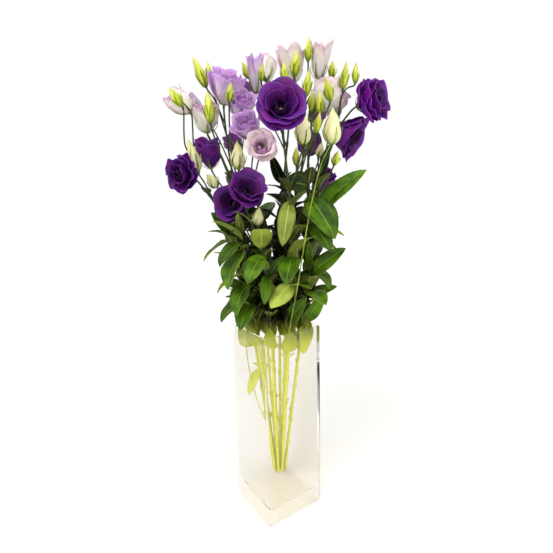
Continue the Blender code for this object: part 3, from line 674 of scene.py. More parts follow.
def leaf_skin(name, blade_dark, blade_light, vein, lime, roughness, glow):
    """Living leaf: a waxy skin over soft tissue, satin and a little translucent. A pale midrib and four
    long side veins run from the base to the tip, the green between them is cloudy, and leaves in the middle
    of the bunch are painted darker, as painted shade."""
    made, tree, out = blank(name)
    place = add(tree, "ShaderNodeUVMap", uv_map="petal").outputs[0]
    split = add(tree, "ShaderNodeSeparateXYZ", {0: place})
    where = add(tree, "ShaderNodeTexCoord").outputs["Object"]
    cloud = add(tree, "ShaderNodeTexNoise", {"Vector": where, "Scale": 1 / CLOUD_SIZE, "Detail": 3.0})
    green = add(tree, "ShaderNodeValToRGB", {0: cloud.outputs[0]}, stops=[
        (0.36, srgb(blade_dark)), (0.64, srgb(blade_light)),
    ])
    shade = add(tree, "ShaderNodeAttribute", attribute_name="shade")
    level = add(tree, "ShaderNodeMapRange", {0: shade.outputs["Fac"], 3: 0.48, 4: 1.28})
    # painted shade: leaves in the middle of the bunch are darkened, to a few hundredths of their green at
    # its heart
    depth = add(tree, "ShaderNodeAttribute", attribute_name="depth")
    inner = add(tree, "ShaderNodeMapRange", {0: depth.outputs["Fac"], 3: 1.0, 4: 0.06})
    dark = add(tree, "ShaderNodeMath", {0: level.outputs[0], 1: inner.outputs[0]}, operation="MULTIPLY")
    shaded = add(tree, "ShaderNodeMix", {
        0: 1.0, 6: green.outputs[0], 7: dark.outputs[0],
    }, data_type="RGBA", blend_type="MULTIPLY")
    # distance from the midrib, 0 at it and 1 at either edge; side veins stand at thirds of it
    aside = add(tree, "ShaderNodeMath", {0: split.outputs[0], 1: 0.5}, operation="SUBTRACT")
    apart = add(tree, "ShaderNodeMath", {0: aside.outputs[0]}, operation="ABSOLUTE")
    ribs = add(tree, "ShaderNodeMath", {0: apart.outputs[0], 1: 0.165}, operation="PINGPONG")
    fine = add(tree, "ShaderNodeMapRange", {0: ribs.outputs[0], 1: 0.0, 2: 0.022, 3: 0.22, 4: 0.0})
    main = add(tree, "ShaderNodeMapRange", {0: apart.outputs[0], 1: 0.008, 2: 0.030, 3: 0.65, 4: 0.0})
    drawn = add(tree, "ShaderNodeMath", {0: fine.outputs[0], 1: main.outputs[0]}, operation="MAXIMUM")
    veined = add(tree, "ShaderNodeMix", {
        0: drawn.outputs[0], 6: shaded.outputs[2], 7: srgb(vein),
    }, data_type="RGBA")
    relief = add(tree, "ShaderNodeMath", {0: cloud.outputs[0], 1: drawn.outputs[0]}, operation="SUBTRACT")
    bump = add(tree, "ShaderNodeBump", {
        "Height": relief.outputs[0], "Strength": 0.5, "Distance": 0.0008,
    })
    shader = add(tree, "ShaderNodeBsdfPrincipled", {
        "Base Color": by_height(tree, srgb(lime), veined.outputs[2]),
        "Roughness": roughness,
        "Specular IOR Level": 0.18,
        "Subsurface Weight": glow,
        "Subsurface Radius": (0.002, 0.003, 0.0008),
        "Subsurface Scale": 0.5,
        "Normal": bump.outputs[0],
    })
    tree.links.new(shader.outputs[0], out.inputs[0])
    return made


def stem_skin():
    """Green stem skin: smooth, waxy and faintly ribbed along its length, dark in the open and lime in the
    vase, where the lime is painted light for the light that reaches it through the glass."""
    made, tree, out = blank("fresh_stem_skin")
    where = add(tree, "ShaderNodeTexCoord").outputs["Object"]
    # ribs about 1.5 mm apart round the stem, drawn out twelve times longer than they are wide
    drawn = add(tree, "ShaderNodeMapping", {
        "Vector": where, "Scale": (1 / RIB_WIDTH, 1 / RIB_WIDTH, 1 / RIB_LENGTH),
    })
    ribs = add(tree, "ShaderNodeTexNoise", {"Vector": drawn.outputs[0], "Scale": 1.0, "Detail": 2.0})
    green = add(tree, "ShaderNodeValToRGB", {0: ribs.outputs[0]}, stops=[
        (0.35, srgb("#182405")), (0.65, srgb("#38490F")),
    ])
    lime = add(tree, "ShaderNodeValToRGB", {0: ribs.outputs[0]}, stops=[
        (0.30, srgb("#BEC41C")), (0.70, srgb("#E2E25C")),
    ])
    bump = add(tree, "ShaderNodeBump", {"Height": ribs.outputs[0], "Strength": 0.3, "Distance": 0.0005})
    shader = add(tree, "ShaderNodeBsdfPrincipled", {
        "Base Color": by_height(tree, lime.outputs[0], green.outputs[0]),
        "Roughness": 0.42,
        "IOR": 1.45,
        "Subsurface Weight": 0.1,
        "Subsurface Radius": (0.001, 0.0015, 0.0005),
        "Subsurface Scale": 0.5,
        "Normal": bump.outputs[0],
    })
    tree.links.new(shader.outputs[0], out.inputs[0])
    return made


def pollen_skin():
    """Ripe anthers: ochre pollen, so matt and so fine that it shows as a soft flat yellow."""
    made, tree, out = blank("ripe_anther_pollen")
    shader = add(tree, "ShaderNodeBsdfPrincipled", {"Base Color": srgb("#C9A23A"), "Roughness": 0.9})
    tree.links.new(shader.outputs[0], out.inputs[0])
    return made


MOULD_RIPPLE = 0.030  # metres from one ripple in the glass to the next


def pressed_glass():
    """Clear soda glass, pressed in a mould: colourless on its faces with a warm cast through its thickness,
    fire polished, with the faintest waviness. It bends what is behind it only a little, as glass does with
    its walls nearly parallel, and lamps shine through it onto the stems inside."""
    made, tree, out = blank("clear_pressed_soda_glass")
    where = add(tree, "ShaderNodeTexCoord").outputs["Object"]
    # ripples from the mould, too shallow to see but in what bends behind them
    ripple = add(tree, "ShaderNodeTexNoise", {"Vector": where, "Scale": 1 / MOULD_RIPPLE, "Detail": 1.0})
    bump = add(tree, "ShaderNodeBump", {"Height": ripple.outputs[0], "Strength": 0.12, "Distance": 0.001})
    glass = add(tree, "ShaderNodeBsdfPrincipled", {
        "Base Color": srgb("#F7F5F2"),
        "Roughness": 0.0,
        "IOR": 1.11,
        "Transmission Weight": 1.0,
        "Coat Weight": 0.6,
        "Coat Roughness": 0.02,
        "Coat IOR": 1.5,
        "Normal": bump.outputs[0],
    })
    clear = add(tree, "ShaderNodeBsdfTransparent", {"Color": srgb("#F7F4EC")})
    lamp = add(tree, "ShaderNodeLightPath")
    mixed = add(tree, "ShaderNodeMixShader", {
        0: lamp.outputs["Is Shadow Ray"], 1: glass.outputs[0], 2: clear.outputs[0],
    })
    tree.links.new(mixed.outputs[0], out.inputs[0])
    return made


def matt_paper():
    """White studio paper sweep: flat and matt, with no grain to see at this distance."""
    made, tree, out = blank("white_studio_paper")
    shader = add(tree, "ShaderNodeBsdfPrincipled", {
        "Base Color": srgb("#F7F6F4"), "Roughness": 0.9, "Specular IOR Level": 0.1,
    })
    tree.links.new(shader.outputs[0], out.inputs[0])
    return made


def lit_paper():
    """The studio's shell: white paper lit evenly from behind."""
    made, tree, out = blank("lit_white_paper")
    light = add(tree, "ShaderNodeEmission", {"Color": srgb("#FFFFFF"), "Strength": 1.0})
    tree.links.new(light.outputs[0], out.inputs[0])
    return made


# The petals' colours: throat, body, rim, flush and heart; then roughness, glow, and the shares of the
# petal's length at which the throat ends and the rim begins.
SKINS = {
    finish: petal_skin(name, *colours, *surface)
    for finish, name, colours, surface in [
        # violet: its near black throat and heart are painted shade in the bloom's hollow, and its paler rim
        # a painted highlight
        ("violet", "fresh_petal_violet", ("#05010A", "#5A0C82", "#6C30A4", "#901280", "#1C0222"),
         (0.55, 0.06, 0.62, 0.95)),
        ("lilac", "fresh_petal_lilac", ("#E4E4C4", "#EDD5EA", "#B88FCC", "#CDA4DE", "#B67CBC"),
         (0.55, 0.45, 0.35, 0.72)),
        ("blush", "fresh_petal_blush", ("#E0E2B4", "#FCECE6", "#C898BC", "#F6EBCC", "#C596C2"),
         (0.55, 0.45, 0.35, 0.86)),
        ("cream", "fresh_petal_cream", ("#B9C748", "#F0E9AC", "#E3E18C", "#EFDFC6", "#E8DF9A"),
         (0.55, 0.30, 0.40, 0.72)),
        ("green", "fresh_bud_green", ("#809A16", "#C4D038", "#DFE070", "#D8D954", "#C4D038"),
         (0.45, 0.15, 0.50, 0.70)),
    ]
}
LEAF_UPPER = leaf_skin("fresh_leaf_upper", "#294A00", "#557C00", "#86A62C", "#C4CC30", 0.45, 0.06)
LEAF_UNDER = leaf_skin("fresh_leaf_underside", "#84992E", "#ABBA4C", "#D0D880", "#D0D850", 0.55, 0.12)
SEPAL = leaf_skin("fresh_sepal", "#62801C", "#9DB236", "#B4C455", "#C2CF3C", 0.45, 0.1)
ANTHER = pollen_skin()
STEM = stem_skin()
GLASS = pressed_glass()
PAPER = matt_paper()
SHELL = lit_paper()


# ---------------------------------------------------------------- meshes

BUNCH = Matrix.Rotation(math.radians(BUNCH_TURN), 4, "Z") @ Matrix.Scale(MM, 4)


class Sheets:
    """Gathers grids of points into one mesh, each with its places across and along it, its shade (its own
    tone, with painted shade and painted light on a few heads), and its depth from the outside of a bloom to
    its heart, or for a leaf how far it stands into the painted shade of the bunch's middle."""

    def __init__(self):
        self.points, self.faces, self.places, self.count = [], [], [], 0
        self.levels = {"shade": [], "depth": []}

    def add(self, grid, shade=0.5, depth=0.0, closed=False):
        """A grid of points, rows by columns; closed joins its last column to its first."""
        rows, columns = grid.shape[:2]
        start = self.count
        self.points.append(grid.reshape(-1, 3))
        self.levels["shade"].append(np.full(rows * columns, shade))
        self.levels["depth"].append(np.full(rows * columns, depth))
        spans = columns if closed else columns - 1
        for i in range(rows - 1):
            for j in range(spans):
                a, b = start + i * columns + j, start + i * columns + (j + 1) % columns
                self.faces.append((a, b, b + columns, a + columns))
                low, high = i / (rows - 1), (i + 1) / (rows - 1)
                left, right = j / spans, (j + 1) / spans
                self.places += [(left, low), (right, low), (right, high), (left, high)]
        self.count += rows * columns

    def end(self, grid_rows, columns, first):
        """Closes the first or the last ring of the sheet added last, with one face."""
        start = self.count - grid_rows * columns
        ring = range(start, start + columns) if first else range(self.count - columns, self.count)
        face = tuple(reversed(ring)) if first else tuple(ring)
        self.faces.append(face)
        self.places += [(0.5, 0.0 if first else 1.0)] * columns

    def piece(self, name, skins, slot, replaces=(), matrix=BUNCH):
        """The gathered sheets as one piece that rides on the body."""
        points = np.vstack(self.points)
        turned = points @ np.array(matrix.to_3x3()).T
        mesh = bpy.data.meshes.new(name)
        mesh.from_pydata(turned.tolist(), [], self.faces)
        layer = mesh.uv_layers.new(name="petal")
        layer.data.foreach_set("uv", np.array(self.places, float).ravel())
        for key, values in self.levels.items():
            mesh.attributes.new(key, "FLOAT", "POINT").data.foreach_set("value", np.concatenate(values))
        for skin in skins:
            mesh.materials.append(skin)
        mesh.shade_smooth()
        made = bpy.data.objects.new(name, mesh)
        bpy.context.scene.collection.objects.link(made)
        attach(made, BODY)
        for node in replaces:
            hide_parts(node)
        return made


def thicken(piece, thickness, under=0):
    """Gives a sheet its real thickness below its upper side, and the underside its own material."""
    solid = piece.modifiers.new("thickness", "SOLIDIFY")
    solid.thickness = thickness
    solid.offset = -1
    solid.material_offset = under
    solid.material_offset_rim = under


def bezier(points, t):
    """Points on the cubic Bezier curve through four control points, for an array of t."""
    t = t[..., None]
    a, b, c, d = [np.array(p, float) for p in points]
    return (1 - t)**3 * a + 3 * (1 - t)**2 * t * b + 3 * (1 - t) * t**2 * c + t**3 * d


def finish_of(head):
    """A head's colour: violet, lilac, blush, cream or green, the first word of its name."""
    return head.name.split("_")[0]


def head_axes(head):
    """The 3 x 3 matrix that stands a head's own z axis along the way it faces."""
    way = Vector(facing(head.turn, head.lift))
    return np.array(way.to_track_quat("Z", "Y").to_matrix())


# ---------------------------------------------------------------- blooms and buds

# A whorl of petals: how many, the turn of the first in degrees, half of a petal's width and the four
# points of its side view as shares of the head's half width and length, how far one edge tucks inside the
# next petal, how deep its frills are as a share of the half width, how many frills cross it, how far it
# twists round the axis on its way up, in degrees, and how far its margin rolls back, as a share again.
Whorl = namedtuple("Whorl", "count turn half_width side tuck frill frills twist roll")

WHORLS = {
    "rose": [
        Whorl(5, 12, 0.92, [(0.05, 0.03), (0.40, 0.14), (0.86, 0.52), (1.02, 0.58)],
              0.05, 0.10, 2.1, 0, 0.16),
        Whorl(4, 50, 0.90, [(0.05, 0.05), (0.46, 0.16), (0.68, 0.66), (0.92, 0.92)],
              0.08, 0.09, 2.4, 6, 0.20),
        Whorl(3, 15, 0.74, [(0.04, 0.07), (0.44, 0.12), (0.56, 0.50), (0.62, 0.80)],
              0.12, 0.08, 2.4, 12, 0.10),
        Whorl(3, 70, 0.44, [(0.04, 0.09), (0.28, 0.12), (0.36, 0.36), (0.20, 0.60)],
              0.26, 0.08, 2.8, 40, 0.04),
    ],
    "frilly": [
        Whorl(5, 0, 0.84, [(0.05, 0.03), (0.45, 0.20), (0.90, 0.40), (0.98, 0.60)],
              0.08, 0.13, 2.9, 0, 0.12),
        Whorl(4, 34, 0.80, [(0.05, 0.05), (0.42, 0.28), (0.74, 0.62), (0.84, 0.86)],
              0.10, 0.14, 3.1, 8, 0.12),
        Whorl(4, 12, 0.62, [(0.04, 0.07), (0.30, 0.34), (0.50, 0.70), (0.58, 0.98)],
              0.14, 0.12, 3.2, 16, 0.06),
        Whorl(3, 20, 0.44, [(0.03, 0.12), (0.20, 0.30), (0.26, 0.60), (0.22, 0.88)],
              0.24, 0.09, 3.0, 30, 0.0),
    ],
    "bell": [
        Whorl(5, 0, 0.92, [(0.07, 0.02), (0.56, 0.04), (0.62, 0.56), (1.12, 0.98)],
              0.06, 0.10, 2.6, 0, 0.14),
        Whorl(4, 40, 0.78, [(0.06, 0.04), (0.44, 0.12), (0.50, 0.56), (0.86, 0.98)],
              0.10, 0.12, 3.0, 8, 0.10),
        Whorl(3, 10, 0.56, [(0.05, 0.08), (0.28, 0.20), (0.34, 0.56), (0.46, 0.92)],
              0.16, 0.09, 3.2, 20, 0.0),
    ],
    "cup": [
        Whorl(5, 0, 0.86, [(0.09, 0.02), (0.66, 0.06), (0.84, 0.50), (1.10, 0.92)],
              0.08, 0.09, 2.6, 6, 0.14),
        Whorl(4, 40, 0.74, [(0.08, 0.04), (0.50, 0.14), (0.68, 0.54), (0.84, 0.98)],
              0.12, 0.11, 3.0, 12, 0.10),
        Whorl(3, 10, 0.56, [(0.06, 0.08), (0.30, 0.22), (0.46, 0.58), (0.50, 0.96)],
              0.18, 0.10, 3.2, 22, 0.04),
        Whorl(2, 50, 0.38, [(0.05, 0.12), (0.18, 0.30), (0.24, 0.56), (0.18, 0.86)],
              0.25, 0.06, 3.2, 34, 0.0),
    ],
    "tulip": [
        Whorl(5, 0, 0.74, [(0.10, 0.02), (0.86, 0.06), (1.00, 0.52), (0.94, 1.00)],
              0.10, 0.06, 2.0, 8, 0.10),
        Whorl(4, 36, 0.64, [(0.08, 0.05), (0.58, 0.18), (0.76, 0.58), (0.56, 0.98)],
              0.16, 0.06, 2.4, 18, 0.04),
        Whorl(3, 12, 0.44, [(0.06, 0.08), (0.34, 0.28), (0.42, 0.60), (0.20, 0.92)],
              0.24, 0.04, 2.4, 34, 0.0),
    ],
    "flared": [
        Whorl(5, 8, 0.70, [(0.10, 0.02), (0.84, 0.04), (0.72, 0.56), (1.14, 1.02)],
              0.08, 0.07, 2.0, 4, 0.10),
        Whorl(4, 40, 0.60, [(0.08, 0.05), (0.60, 0.14), (0.58, 0.56), (0.74, 0.96)],
              0.14, 0.08, 2.4, 14, 0.06),
        Whorl(3, 12, 0.42, [(0.06, 0.08), (0.32, 0.24), (0.40, 0.56), (0.26, 0.84)],
              0.22, 0.05, 2.6, 28, 0.0),
    ],
    "bud": [
        Whorl(5, 0, 0.74, [(0.14, 0.01), (0.98, 0.10), (1.12, 0.48), (0.07, 1.00)],
              0.16, 0.0, 1.0, 55, 0.0),
        Whorl(3, 30, 0.50, [(0.10, 0.04), (0.66, 0.16), (0.74, 0.52), (0.04, 0.97)],
              0.20, 0.0, 1.0, 70, 0.0),
    ],
}

# Which habit each form of head opens with; and the heads that open another way, with how full they are
# and how many degrees they look further up.
STYLES = {"open": "rose", "cup": "cup", "half": "tulip", "bud": "bud"}
OPENED = {
    "violet_bloom_front": ("rose", 0.92, 12),
    "violet_bloom_low_left": ("rose", 1.0, 0),
    "violet_bloom_low_front": ("rose", 1.0, 0),
    "violet_bloom_left": ("frilly", 0.90, 0),
    "violet_bloom_far_right": ("frilly", 1.0, 0),
    "violet_bloom_right": ("bell", 1.04, -8),
    "lilac_bloom_middle": ("flared", 1.0, 0),
    "blush_bloom_far_left": ("tulip", 0.86, 0),
    "blush_bloom_right": ("frilly", 1.0, 22),
    "blush_bloom_top": ("flared", 1.0, 0),
    "blush_bud_top": ("flared", 1.0, 0),
}

# How light a head's petals are, from 0 to 1, as usual and where it isn't: painted shade on the two low
# blooms under the bunch and painted light on the far right one; and how much the petals differ at random
USUAL_LIGHTNESS = 0.48
PAINTED_HEAD_LIGHT = {"violet_bloom_low_left": 0.20, "violet_bloom_low_front": 0.25, "violet_bloom_far_right": 0.92}
PETAL_SPREAD = 0.22

# The small parts of a bloom; a sepal's reach and how far out it hugs are shares of the head's length and
# half width
STAMENS = 5
SEPALS = 5
SEPAL_REACH = {"bud": 0.55, "half": 0.42, "cup": 0.40, "open": 0.42}
SEPAL_HUG = {"bud": 0.98, "half": 0.84, "cup": 0.84, "open": 0.50}
SEPAL_THICKNESS = 0.0004
HEART_SIZE = 0.75

# The first seed of each kind of piece, whose own number is added to it
HEAD_SEED, GREEN_BUD_SEED, STEM_SEED, LEAF_SEED = 100, 300, 400, 700

# How closely a petal is meshed, along and across; its thickness in metres; how far round the axis it may
# wrap, in radians; the width of its claw as a share of its greatest, which it reaches at WIDEST_AT of its
# length; where its margin starts; how hollow it is; how much its end is rounded; and how loosely it
# stands, in degrees
PETAL_MESH = {"open": (18, 20), "cup": (16, 16), "half": (14, 14), "bud": (18, 14)}
PETAL_THICKNESS = 0.00035
WIDEST_WRAP = 1.35
CLAW_WIDTH = 0.24
WIDEST_AT = 0.78
MARGIN_FROM = 0.62
HOLLOW = 0.12
ROUNDED = {"open": 0.15, "cup": 0.16, "half": 0.24, "bud": 0.20}
LOOSENESS = {"open": 11, "cup": 8, "half": 5, "bud": 3}


def petal(head, whorl, k, rng, along, across):
    """One petal's grid of points, in its head's own axes in mm. u runs across it and v along it."""
    u = np.linspace(-1, 1, across + 1)[None, :]
    v = np.linspace(0, 1, along + 1)[:, None]
    radius, length = head.width / 2, head.length
    drift = rng.uniform(-1, 1, 9)
    # its end is round, a little aside and a little notched
    skew = u + 0.25 * drift[0] * (1 - u**2)
    notch = 0.05 * drift[1] * np.cos(5 * u + 3 * drift[2])
    reach = v * (1 - ROUNDED[head.form] * abs(skew) ** 2.4 + notch * (head.form != "bud"))
    # its side view, and the slope of that
    side = [(x * (1 + 0.10 * drift[3]), z * (1 + 0.07 * drift[4])) for x, z in whorl.side]
    profile = bezier(side, reach)
    out, up = profile[..., 0] * radius, profile[..., 1] * length
    ahead = bezier(side, reach + 0.02) - bezier(side, reach - 0.02)
    slope_out, slope_up = ahead[..., 0] * radius, ahead[..., 1] * length
    size = np.hypot(slope_out, slope_up) + 1e-9
    # how far it wraps round the axis
    fullness = np.sin(np.pi / 2 * np.minimum(1, v / WIDEST_AT))
    half = whorl.half_width * radius * (CLAW_WIDTH + (1 - CLAW_WIDTH) * fullness)
    wrap = np.minimum(half / np.maximum(out, 0.02 * radius), WIDEST_WRAP + 0.5 * whorl.tuck)
    turn = math.radians(whorl.turn + 360 * k / whorl.count + LOOSENESS[head.form] * drift[5])
    angle = turn + u * wrap + math.radians(whorl.twist) * reach
    # frills across the rim and down the edges, the rolled margin, and the hollow, all out of its surface
    waves = (
        0.60 * np.sin(whorl.frills * u * 1.9 + 3 * drift[6])
        + 0.40 * np.sin(whorl.frills * u * 3.3 + 5 * drift[7] + 2 * v)
    )
    ripple = 0.6 * abs(u) ** 3 * np.sin((4 + whorl.frills) * v + 4 * drift[8])
    outermost = np.maximum(reach, abs(u) * np.minimum(1, 1.6 * v))
    margin = np.clip((outermost - MARGIN_FROM) / (1 - MARGIN_FROM), 0, 1)
    lift = whorl.frill * radius * (reach**2.5 * waves + reach * ripple) - whorl.roll * radius * margin**2
    lift = lift - HOLLOW * radius * reach * (1 - reach) * (1 - u**2) * (whorl.frill > 0)
    out = out * (1 + whorl.tuck * u) + lift * -slope_up / size
    up = up + lift * slope_out / size
    return np.stack([out * np.cos(angle), out * np.sin(angle), up], axis=-1)


def strip(side, widths, turn, keel, rows=9):
    """A narrow green sepal, folded up its middle: side is its side view in mm, and widths its half width
    at the base, the middle and the tip."""
    v = np.linspace(0, 1, rows)
    profile = bezier(side, v)
    half = np.interp(v, [0, 0.35, 1], widths)
    grid = []
    for u in (-1, -0.5, 0, 0.5, 1):
        out = profile[:, 0] - keel * (1 - abs(u))
        across = u * half
        x = out * math.cos(turn) - across * math.sin(turn)
        y = out * math.sin(turn) + across * math.cos(turn)
        grid.append(np.stack([x, y, profile[:, 1]], axis=-1))
    return np.stack(grid, axis=1)


def build_heart(head, rng):
    """The parts in the throat of an open bloom: a stigma of two lobes on its stalk, and five stamens."""
    axes, base = head_axes(head), heel(head)
    size = HEART_SIZE * head.length
    grown = Sheets()
    stalk = np.array([(0, 0, 0.08), (0.01, 0, 0.30), (0.02, 0.01, 0.46)]) * size
    cane(grown, stalk @ axes.T + base, [1.1, 0.7, 0.7], 8)
    for side in (-1, 1):
        lobe = [(0.02, 0.01, 0.45), (0.02 + 0.05 * side, 0.02, 0.49), (0.02 + 0.09 * side, 0.02, 0.47)]
        cane(grown, np.array(lobe) * size @ axes.T + base, [0.8, 1.1, 0.6], 8)
    grown.piece(head.name + "_stigma", [SEPAL], "stem")
    ring = Sheets()
    for k in range(STAMENS):
        turn = 2 * math.pi * (k + rng.uniform(-0.2, 0.2)) / STAMENS
        out = np.array((math.cos(turn), math.sin(turn), 0)) * size
        up = np.array((0, 0, size))
        anther = [0.12 * out + 0.33 * up, 0.13 * out + 0.38 * up, 0.12 * out + 0.42 * up]
        cane(ring, np.array(anther) @ axes.T + base, [0.6, 0.9, 0.5], 6)
        thread = [0.03 * out + 0.08 * up, 0.09 * out + 0.22 * up, 0.12 * out + 0.35 * up]
        cane(ring, np.array(thread) @ axes.T + base, [0.35, 0.3, 0.3], 6)
    ring.piece(head.name + "_stamens", [ANTHER], "stem")


def build_head(seed, head, slot, replaces):
    """A bloom or a bud: its petals, the stamens and stigma of an open one, then its green sepals."""
    rng = np.random.default_rng(seed)
    style, fullness, raised = OPENED.get(head.name, (STYLES[head.form], 1.0, 0))
    along, across = PETAL_MESH[head.form]
    axes, base = head_axes(head._replace(lift=head.lift + raised)), heel(head)
    petals = Sheets()
    depths = np.linspace(0, 1, len(WHORLS[style]))
    for whorl, depth in zip(WHORLS[style], depths):
        for k in range(whorl.count):
            grid = petal(head, whorl, k, rng, along, across)
            # each petal's own tone, shifted on the low blooms by painted shade and on the far right bloom
            # by painted light
            shade = PAINTED_HEAD_LIGHT.get(head.name, USUAL_LIGHTNESS) + PETAL_SPREAD * rng.uniform(-1, 1)
            petals.add(fullness * grid @ axes.T + base, shade, depth)
    bloom = petals.piece(head.name + "_petals", [SKINS[finish_of(head)]], slot, replaces)
    thicken(bloom, PETAL_THICKNESS)
    if head.form in ("open", "cup"):
        build_heart(head, rng)
    calyx = Sheets()
    reach = SEPAL_REACH[head.form]
    spread = head.width / 2
    for k in range(SEPALS):
        turn = 2 * math.pi * (k + rng.uniform(-0.15, 0.15)) / SEPALS
        tall = reach * head.length * rng.uniform(0.85, 1.1)
        hug = SEPAL_HUG[head.form] * spread
        side = [(1.4, -0.6), (hug * 0.75, tall * 0.12), (hug * 1.06, tall * 0.5), (hug * 1.08 + 1.2, tall)]
        calyx.add(strip(side, (1.5, 1.25, 0.12), turn, 0.5) @ axes.T + base, rng.uniform(0, 1))
    green = calyx.piece(head.name + "_calyx", [SEPAL], "stem")
    thicken(green, SEPAL_THICKNESS)


# ---------------------------------------------------------------- leaves and stems

BLADE_THICKNESS = 0.0005  # in metres
LEAF_EDGE_WAVE = 0.09  # how deep a leaf's edge waves, as a share of its half width
SHADED_MIDDLE = 40  # the half width of the middle of the bunch painted in shade at the vase's mouth, in mm
ROOM_GROWTH = 260  # the rise in mm over which that half width doubles
MIDDLE_SHADE, FILL_MIDDLE_SHADE = 1.35, 1.65  # how deep the painted shade of the bunch's middle is for a leaf, and for a crowded one

# A stem's nodes: their spacing and half length in mm, how much they swell, and how far the nodes of each
# stem stand above those of the last
NODE_SPACING = 46
NODE_LENGTH = 3.2
NODE_SWELLING = 0.42
NODE_SHIFT = 11

# Thin loose shoots, one inside the vase and one in front of the leaves up to a bud: the points that each
# passes from its top down, in mm, and the height at which it leaves its stem.
LOOSE_SHOOTS = {
    "stem_left": ([(-47, -2, 292), (-45, 0, 250), (-41, 3, 210), (-30, 9, 160)], 118),
    "stem_right_front": ([
        (86, -26, 571), (70, -36, 545), (58, -62, 507), (49, -79, 475), (43, -88, 444),
        (38, -89, 415), (31, -81, 370), (25, -60, 333), (21, -38, 300),
    ], 280),
}
LOOSE_POINTS = 32
LOOSE_RADIUS = 0.8

# Soft leaves left on inside the vase and at its mouth, painted lime there like the stems, as painted light
# through the glass.
LOW_LEAVES = [
    Leaf("low_far_left", "stem_left", 222, (-44, -2, 186), 18, 3, -30, 10),
    Leaf("low_left", "stem_left", 264, (-55, -5, 303), 25, 4, -25, 20),
    Leaf("low_left_inner", "stem_left_front", 270, (-38, -24, 312), 20, 4, -15, 25),
    Leaf("low_right", "stem_right", 260, (55, 4, 310), 30, 4, 20, 20),
    Leaf("low_right_inner", "stem_right_front", 268, (42, -16, 306), 24, 3, 5, 20),
    Leaf("low_front", "stem_front_right", 262, (22, -36, 306), 26, 4, 10, 25),
    Leaf("low_front_left", "stem_front", 268, (-6, -34, 310), 23, 4, -15, 20),
    Leaf("low_middle", "stem_middle_right", 257, (33, -12, 298), 24, 3, 10, 20),
]

# Stubs of the leaves pulled off inside the vase, at the nodes between these heights in mm.
STUBS_FROM, STUBS_TO = 105, 262

# Leaves too small and too crowded for solids of their own: pairs up each stem, closest at the vase's rim.
FILL_FROM, FILL_TO = 282, 508
FILL_THINS = 350  # the height above which the pairs stand further apart
FILL_HEIGHTS = [*range(FILL_FROM, FILL_THINS, 14), *range(FILL_THINS, FILL_TO, 22)]
FILL_LENGTHS = (26, 50)
FILL_WIDTHS = (0.42, 0.70)  # as shares of the length
FILL_LIFTS = (15, 80)  # the way they rise, in degrees
FILL_FACES = (60, 110)  # from the way a leaf rises to the way its upper side faces
FILL_STRAY = 35
RIM_LIFT = 30  # how much steeper they rise just above the vase's rim
RIM_REACH = 20
GLASS_ROOM = 43  # how far from the vase's middle its inner walls leave room for a leaf, in mm
BLOOM_ROOM = 0.62  # how near to a head's centre a leaf may come, as a share of its width
PALE_LEAF = (14, -66, 465)  # the middle of the pale leaf that hangs in front, which others keep off
PALE_LEAF_ROOM = 19


def leaf_sheet(sheets, base, leaf, rng, along=14, across=8):
    """A leaf's blade: folded along its midrib, bowed, gently waved along its edges and a little twisted."""
    axis, normal, side, length = leaf_axes(base, leaf)
    t = np.linspace(0, 1, along + 1)[:, None, None]
    s = np.linspace(-1, 1, across + 1)[None, :, None]
    half = leaf.width / 2 * np.maximum(0.10 * (1 - t), 2.05 * t**0.50 * (1 - t) ** 0.80 * (1 + 0.22 * t))
    twist = rng.uniform(-0.30, 0.30) * (t - 0.3)
    across_way = side * np.cos(twist) + normal * np.sin(twist)
    up_way = normal * np.cos(twist) - side * np.sin(twist)
    wave = LEAF_EDGE_WAVE * np.sin(9 * t + 3 * s + rng.uniform(0, 6)) * abs(s) ** 1.5
    grid = (
        base
        + axis * length * t
        + normal * leaf.bow * 4 * t * (1 - t)
        + up_way * half * (LEAF_FOLD * abs(s) ** 1.3 + wave)
        + across_way * half * s
    )
    # painted shade: the further a leaf stands into the middle of the bunch, the darker it is painted, and
    # crowded filling leaves more so
    middle = grid[along // 2, across // 2]
    room = SHADED_MIDDLE * (1 + (middle[2] - FILL_FROM) / ROOM_GROWTH)
    painted_shade = FILL_MIDDLE_SHADE if leaf.name == "fill" else MIDDLE_SHADE
    depth = float(np.clip(painted_shade - np.hypot(*(middle[:2] - MOUTH_CENTRE)) / room, 0, 1))
    sheets.add(grid, rng.uniform(0, 1), depth)


def smooth_line(points, count):
    """A smooth curve through a settled line, evenly spaced."""
    line = thinned(points, count)
    for _ in range(2):
        line[1:-1] = 0.25 * line[:-2] + 0.5 * line[1:-1] + 0.25 * line[2:]
    return line


def cane(sheets, line, radii, sides):
    """A round stem along a line, closed at both ends."""
    way = np.gradient(line, axis=0)
    way /= np.linalg.norm(way, axis=1)[:, None]
    side = np.cross(way[0], (0, 1, 0))
    rings = []
    angles = 2 * np.pi * np.arange(sides) / sides
    for centre, ahead, radius in zip(line, way, radii):
        side = side - ahead * (side @ ahead)
        side /= np.linalg.norm(side)
        up = np.cross(ahead, side)
        ring = np.cos(angles)[:, None] * side + np.sin(angles)[:, None] * up
        rings.append(centre + radius * ring)
    grid = np.stack(rings)
    sheets.add(grid, closed=True)
    sheets.end(len(line), sides, True)
    sheets.end(len(line), sides, False)


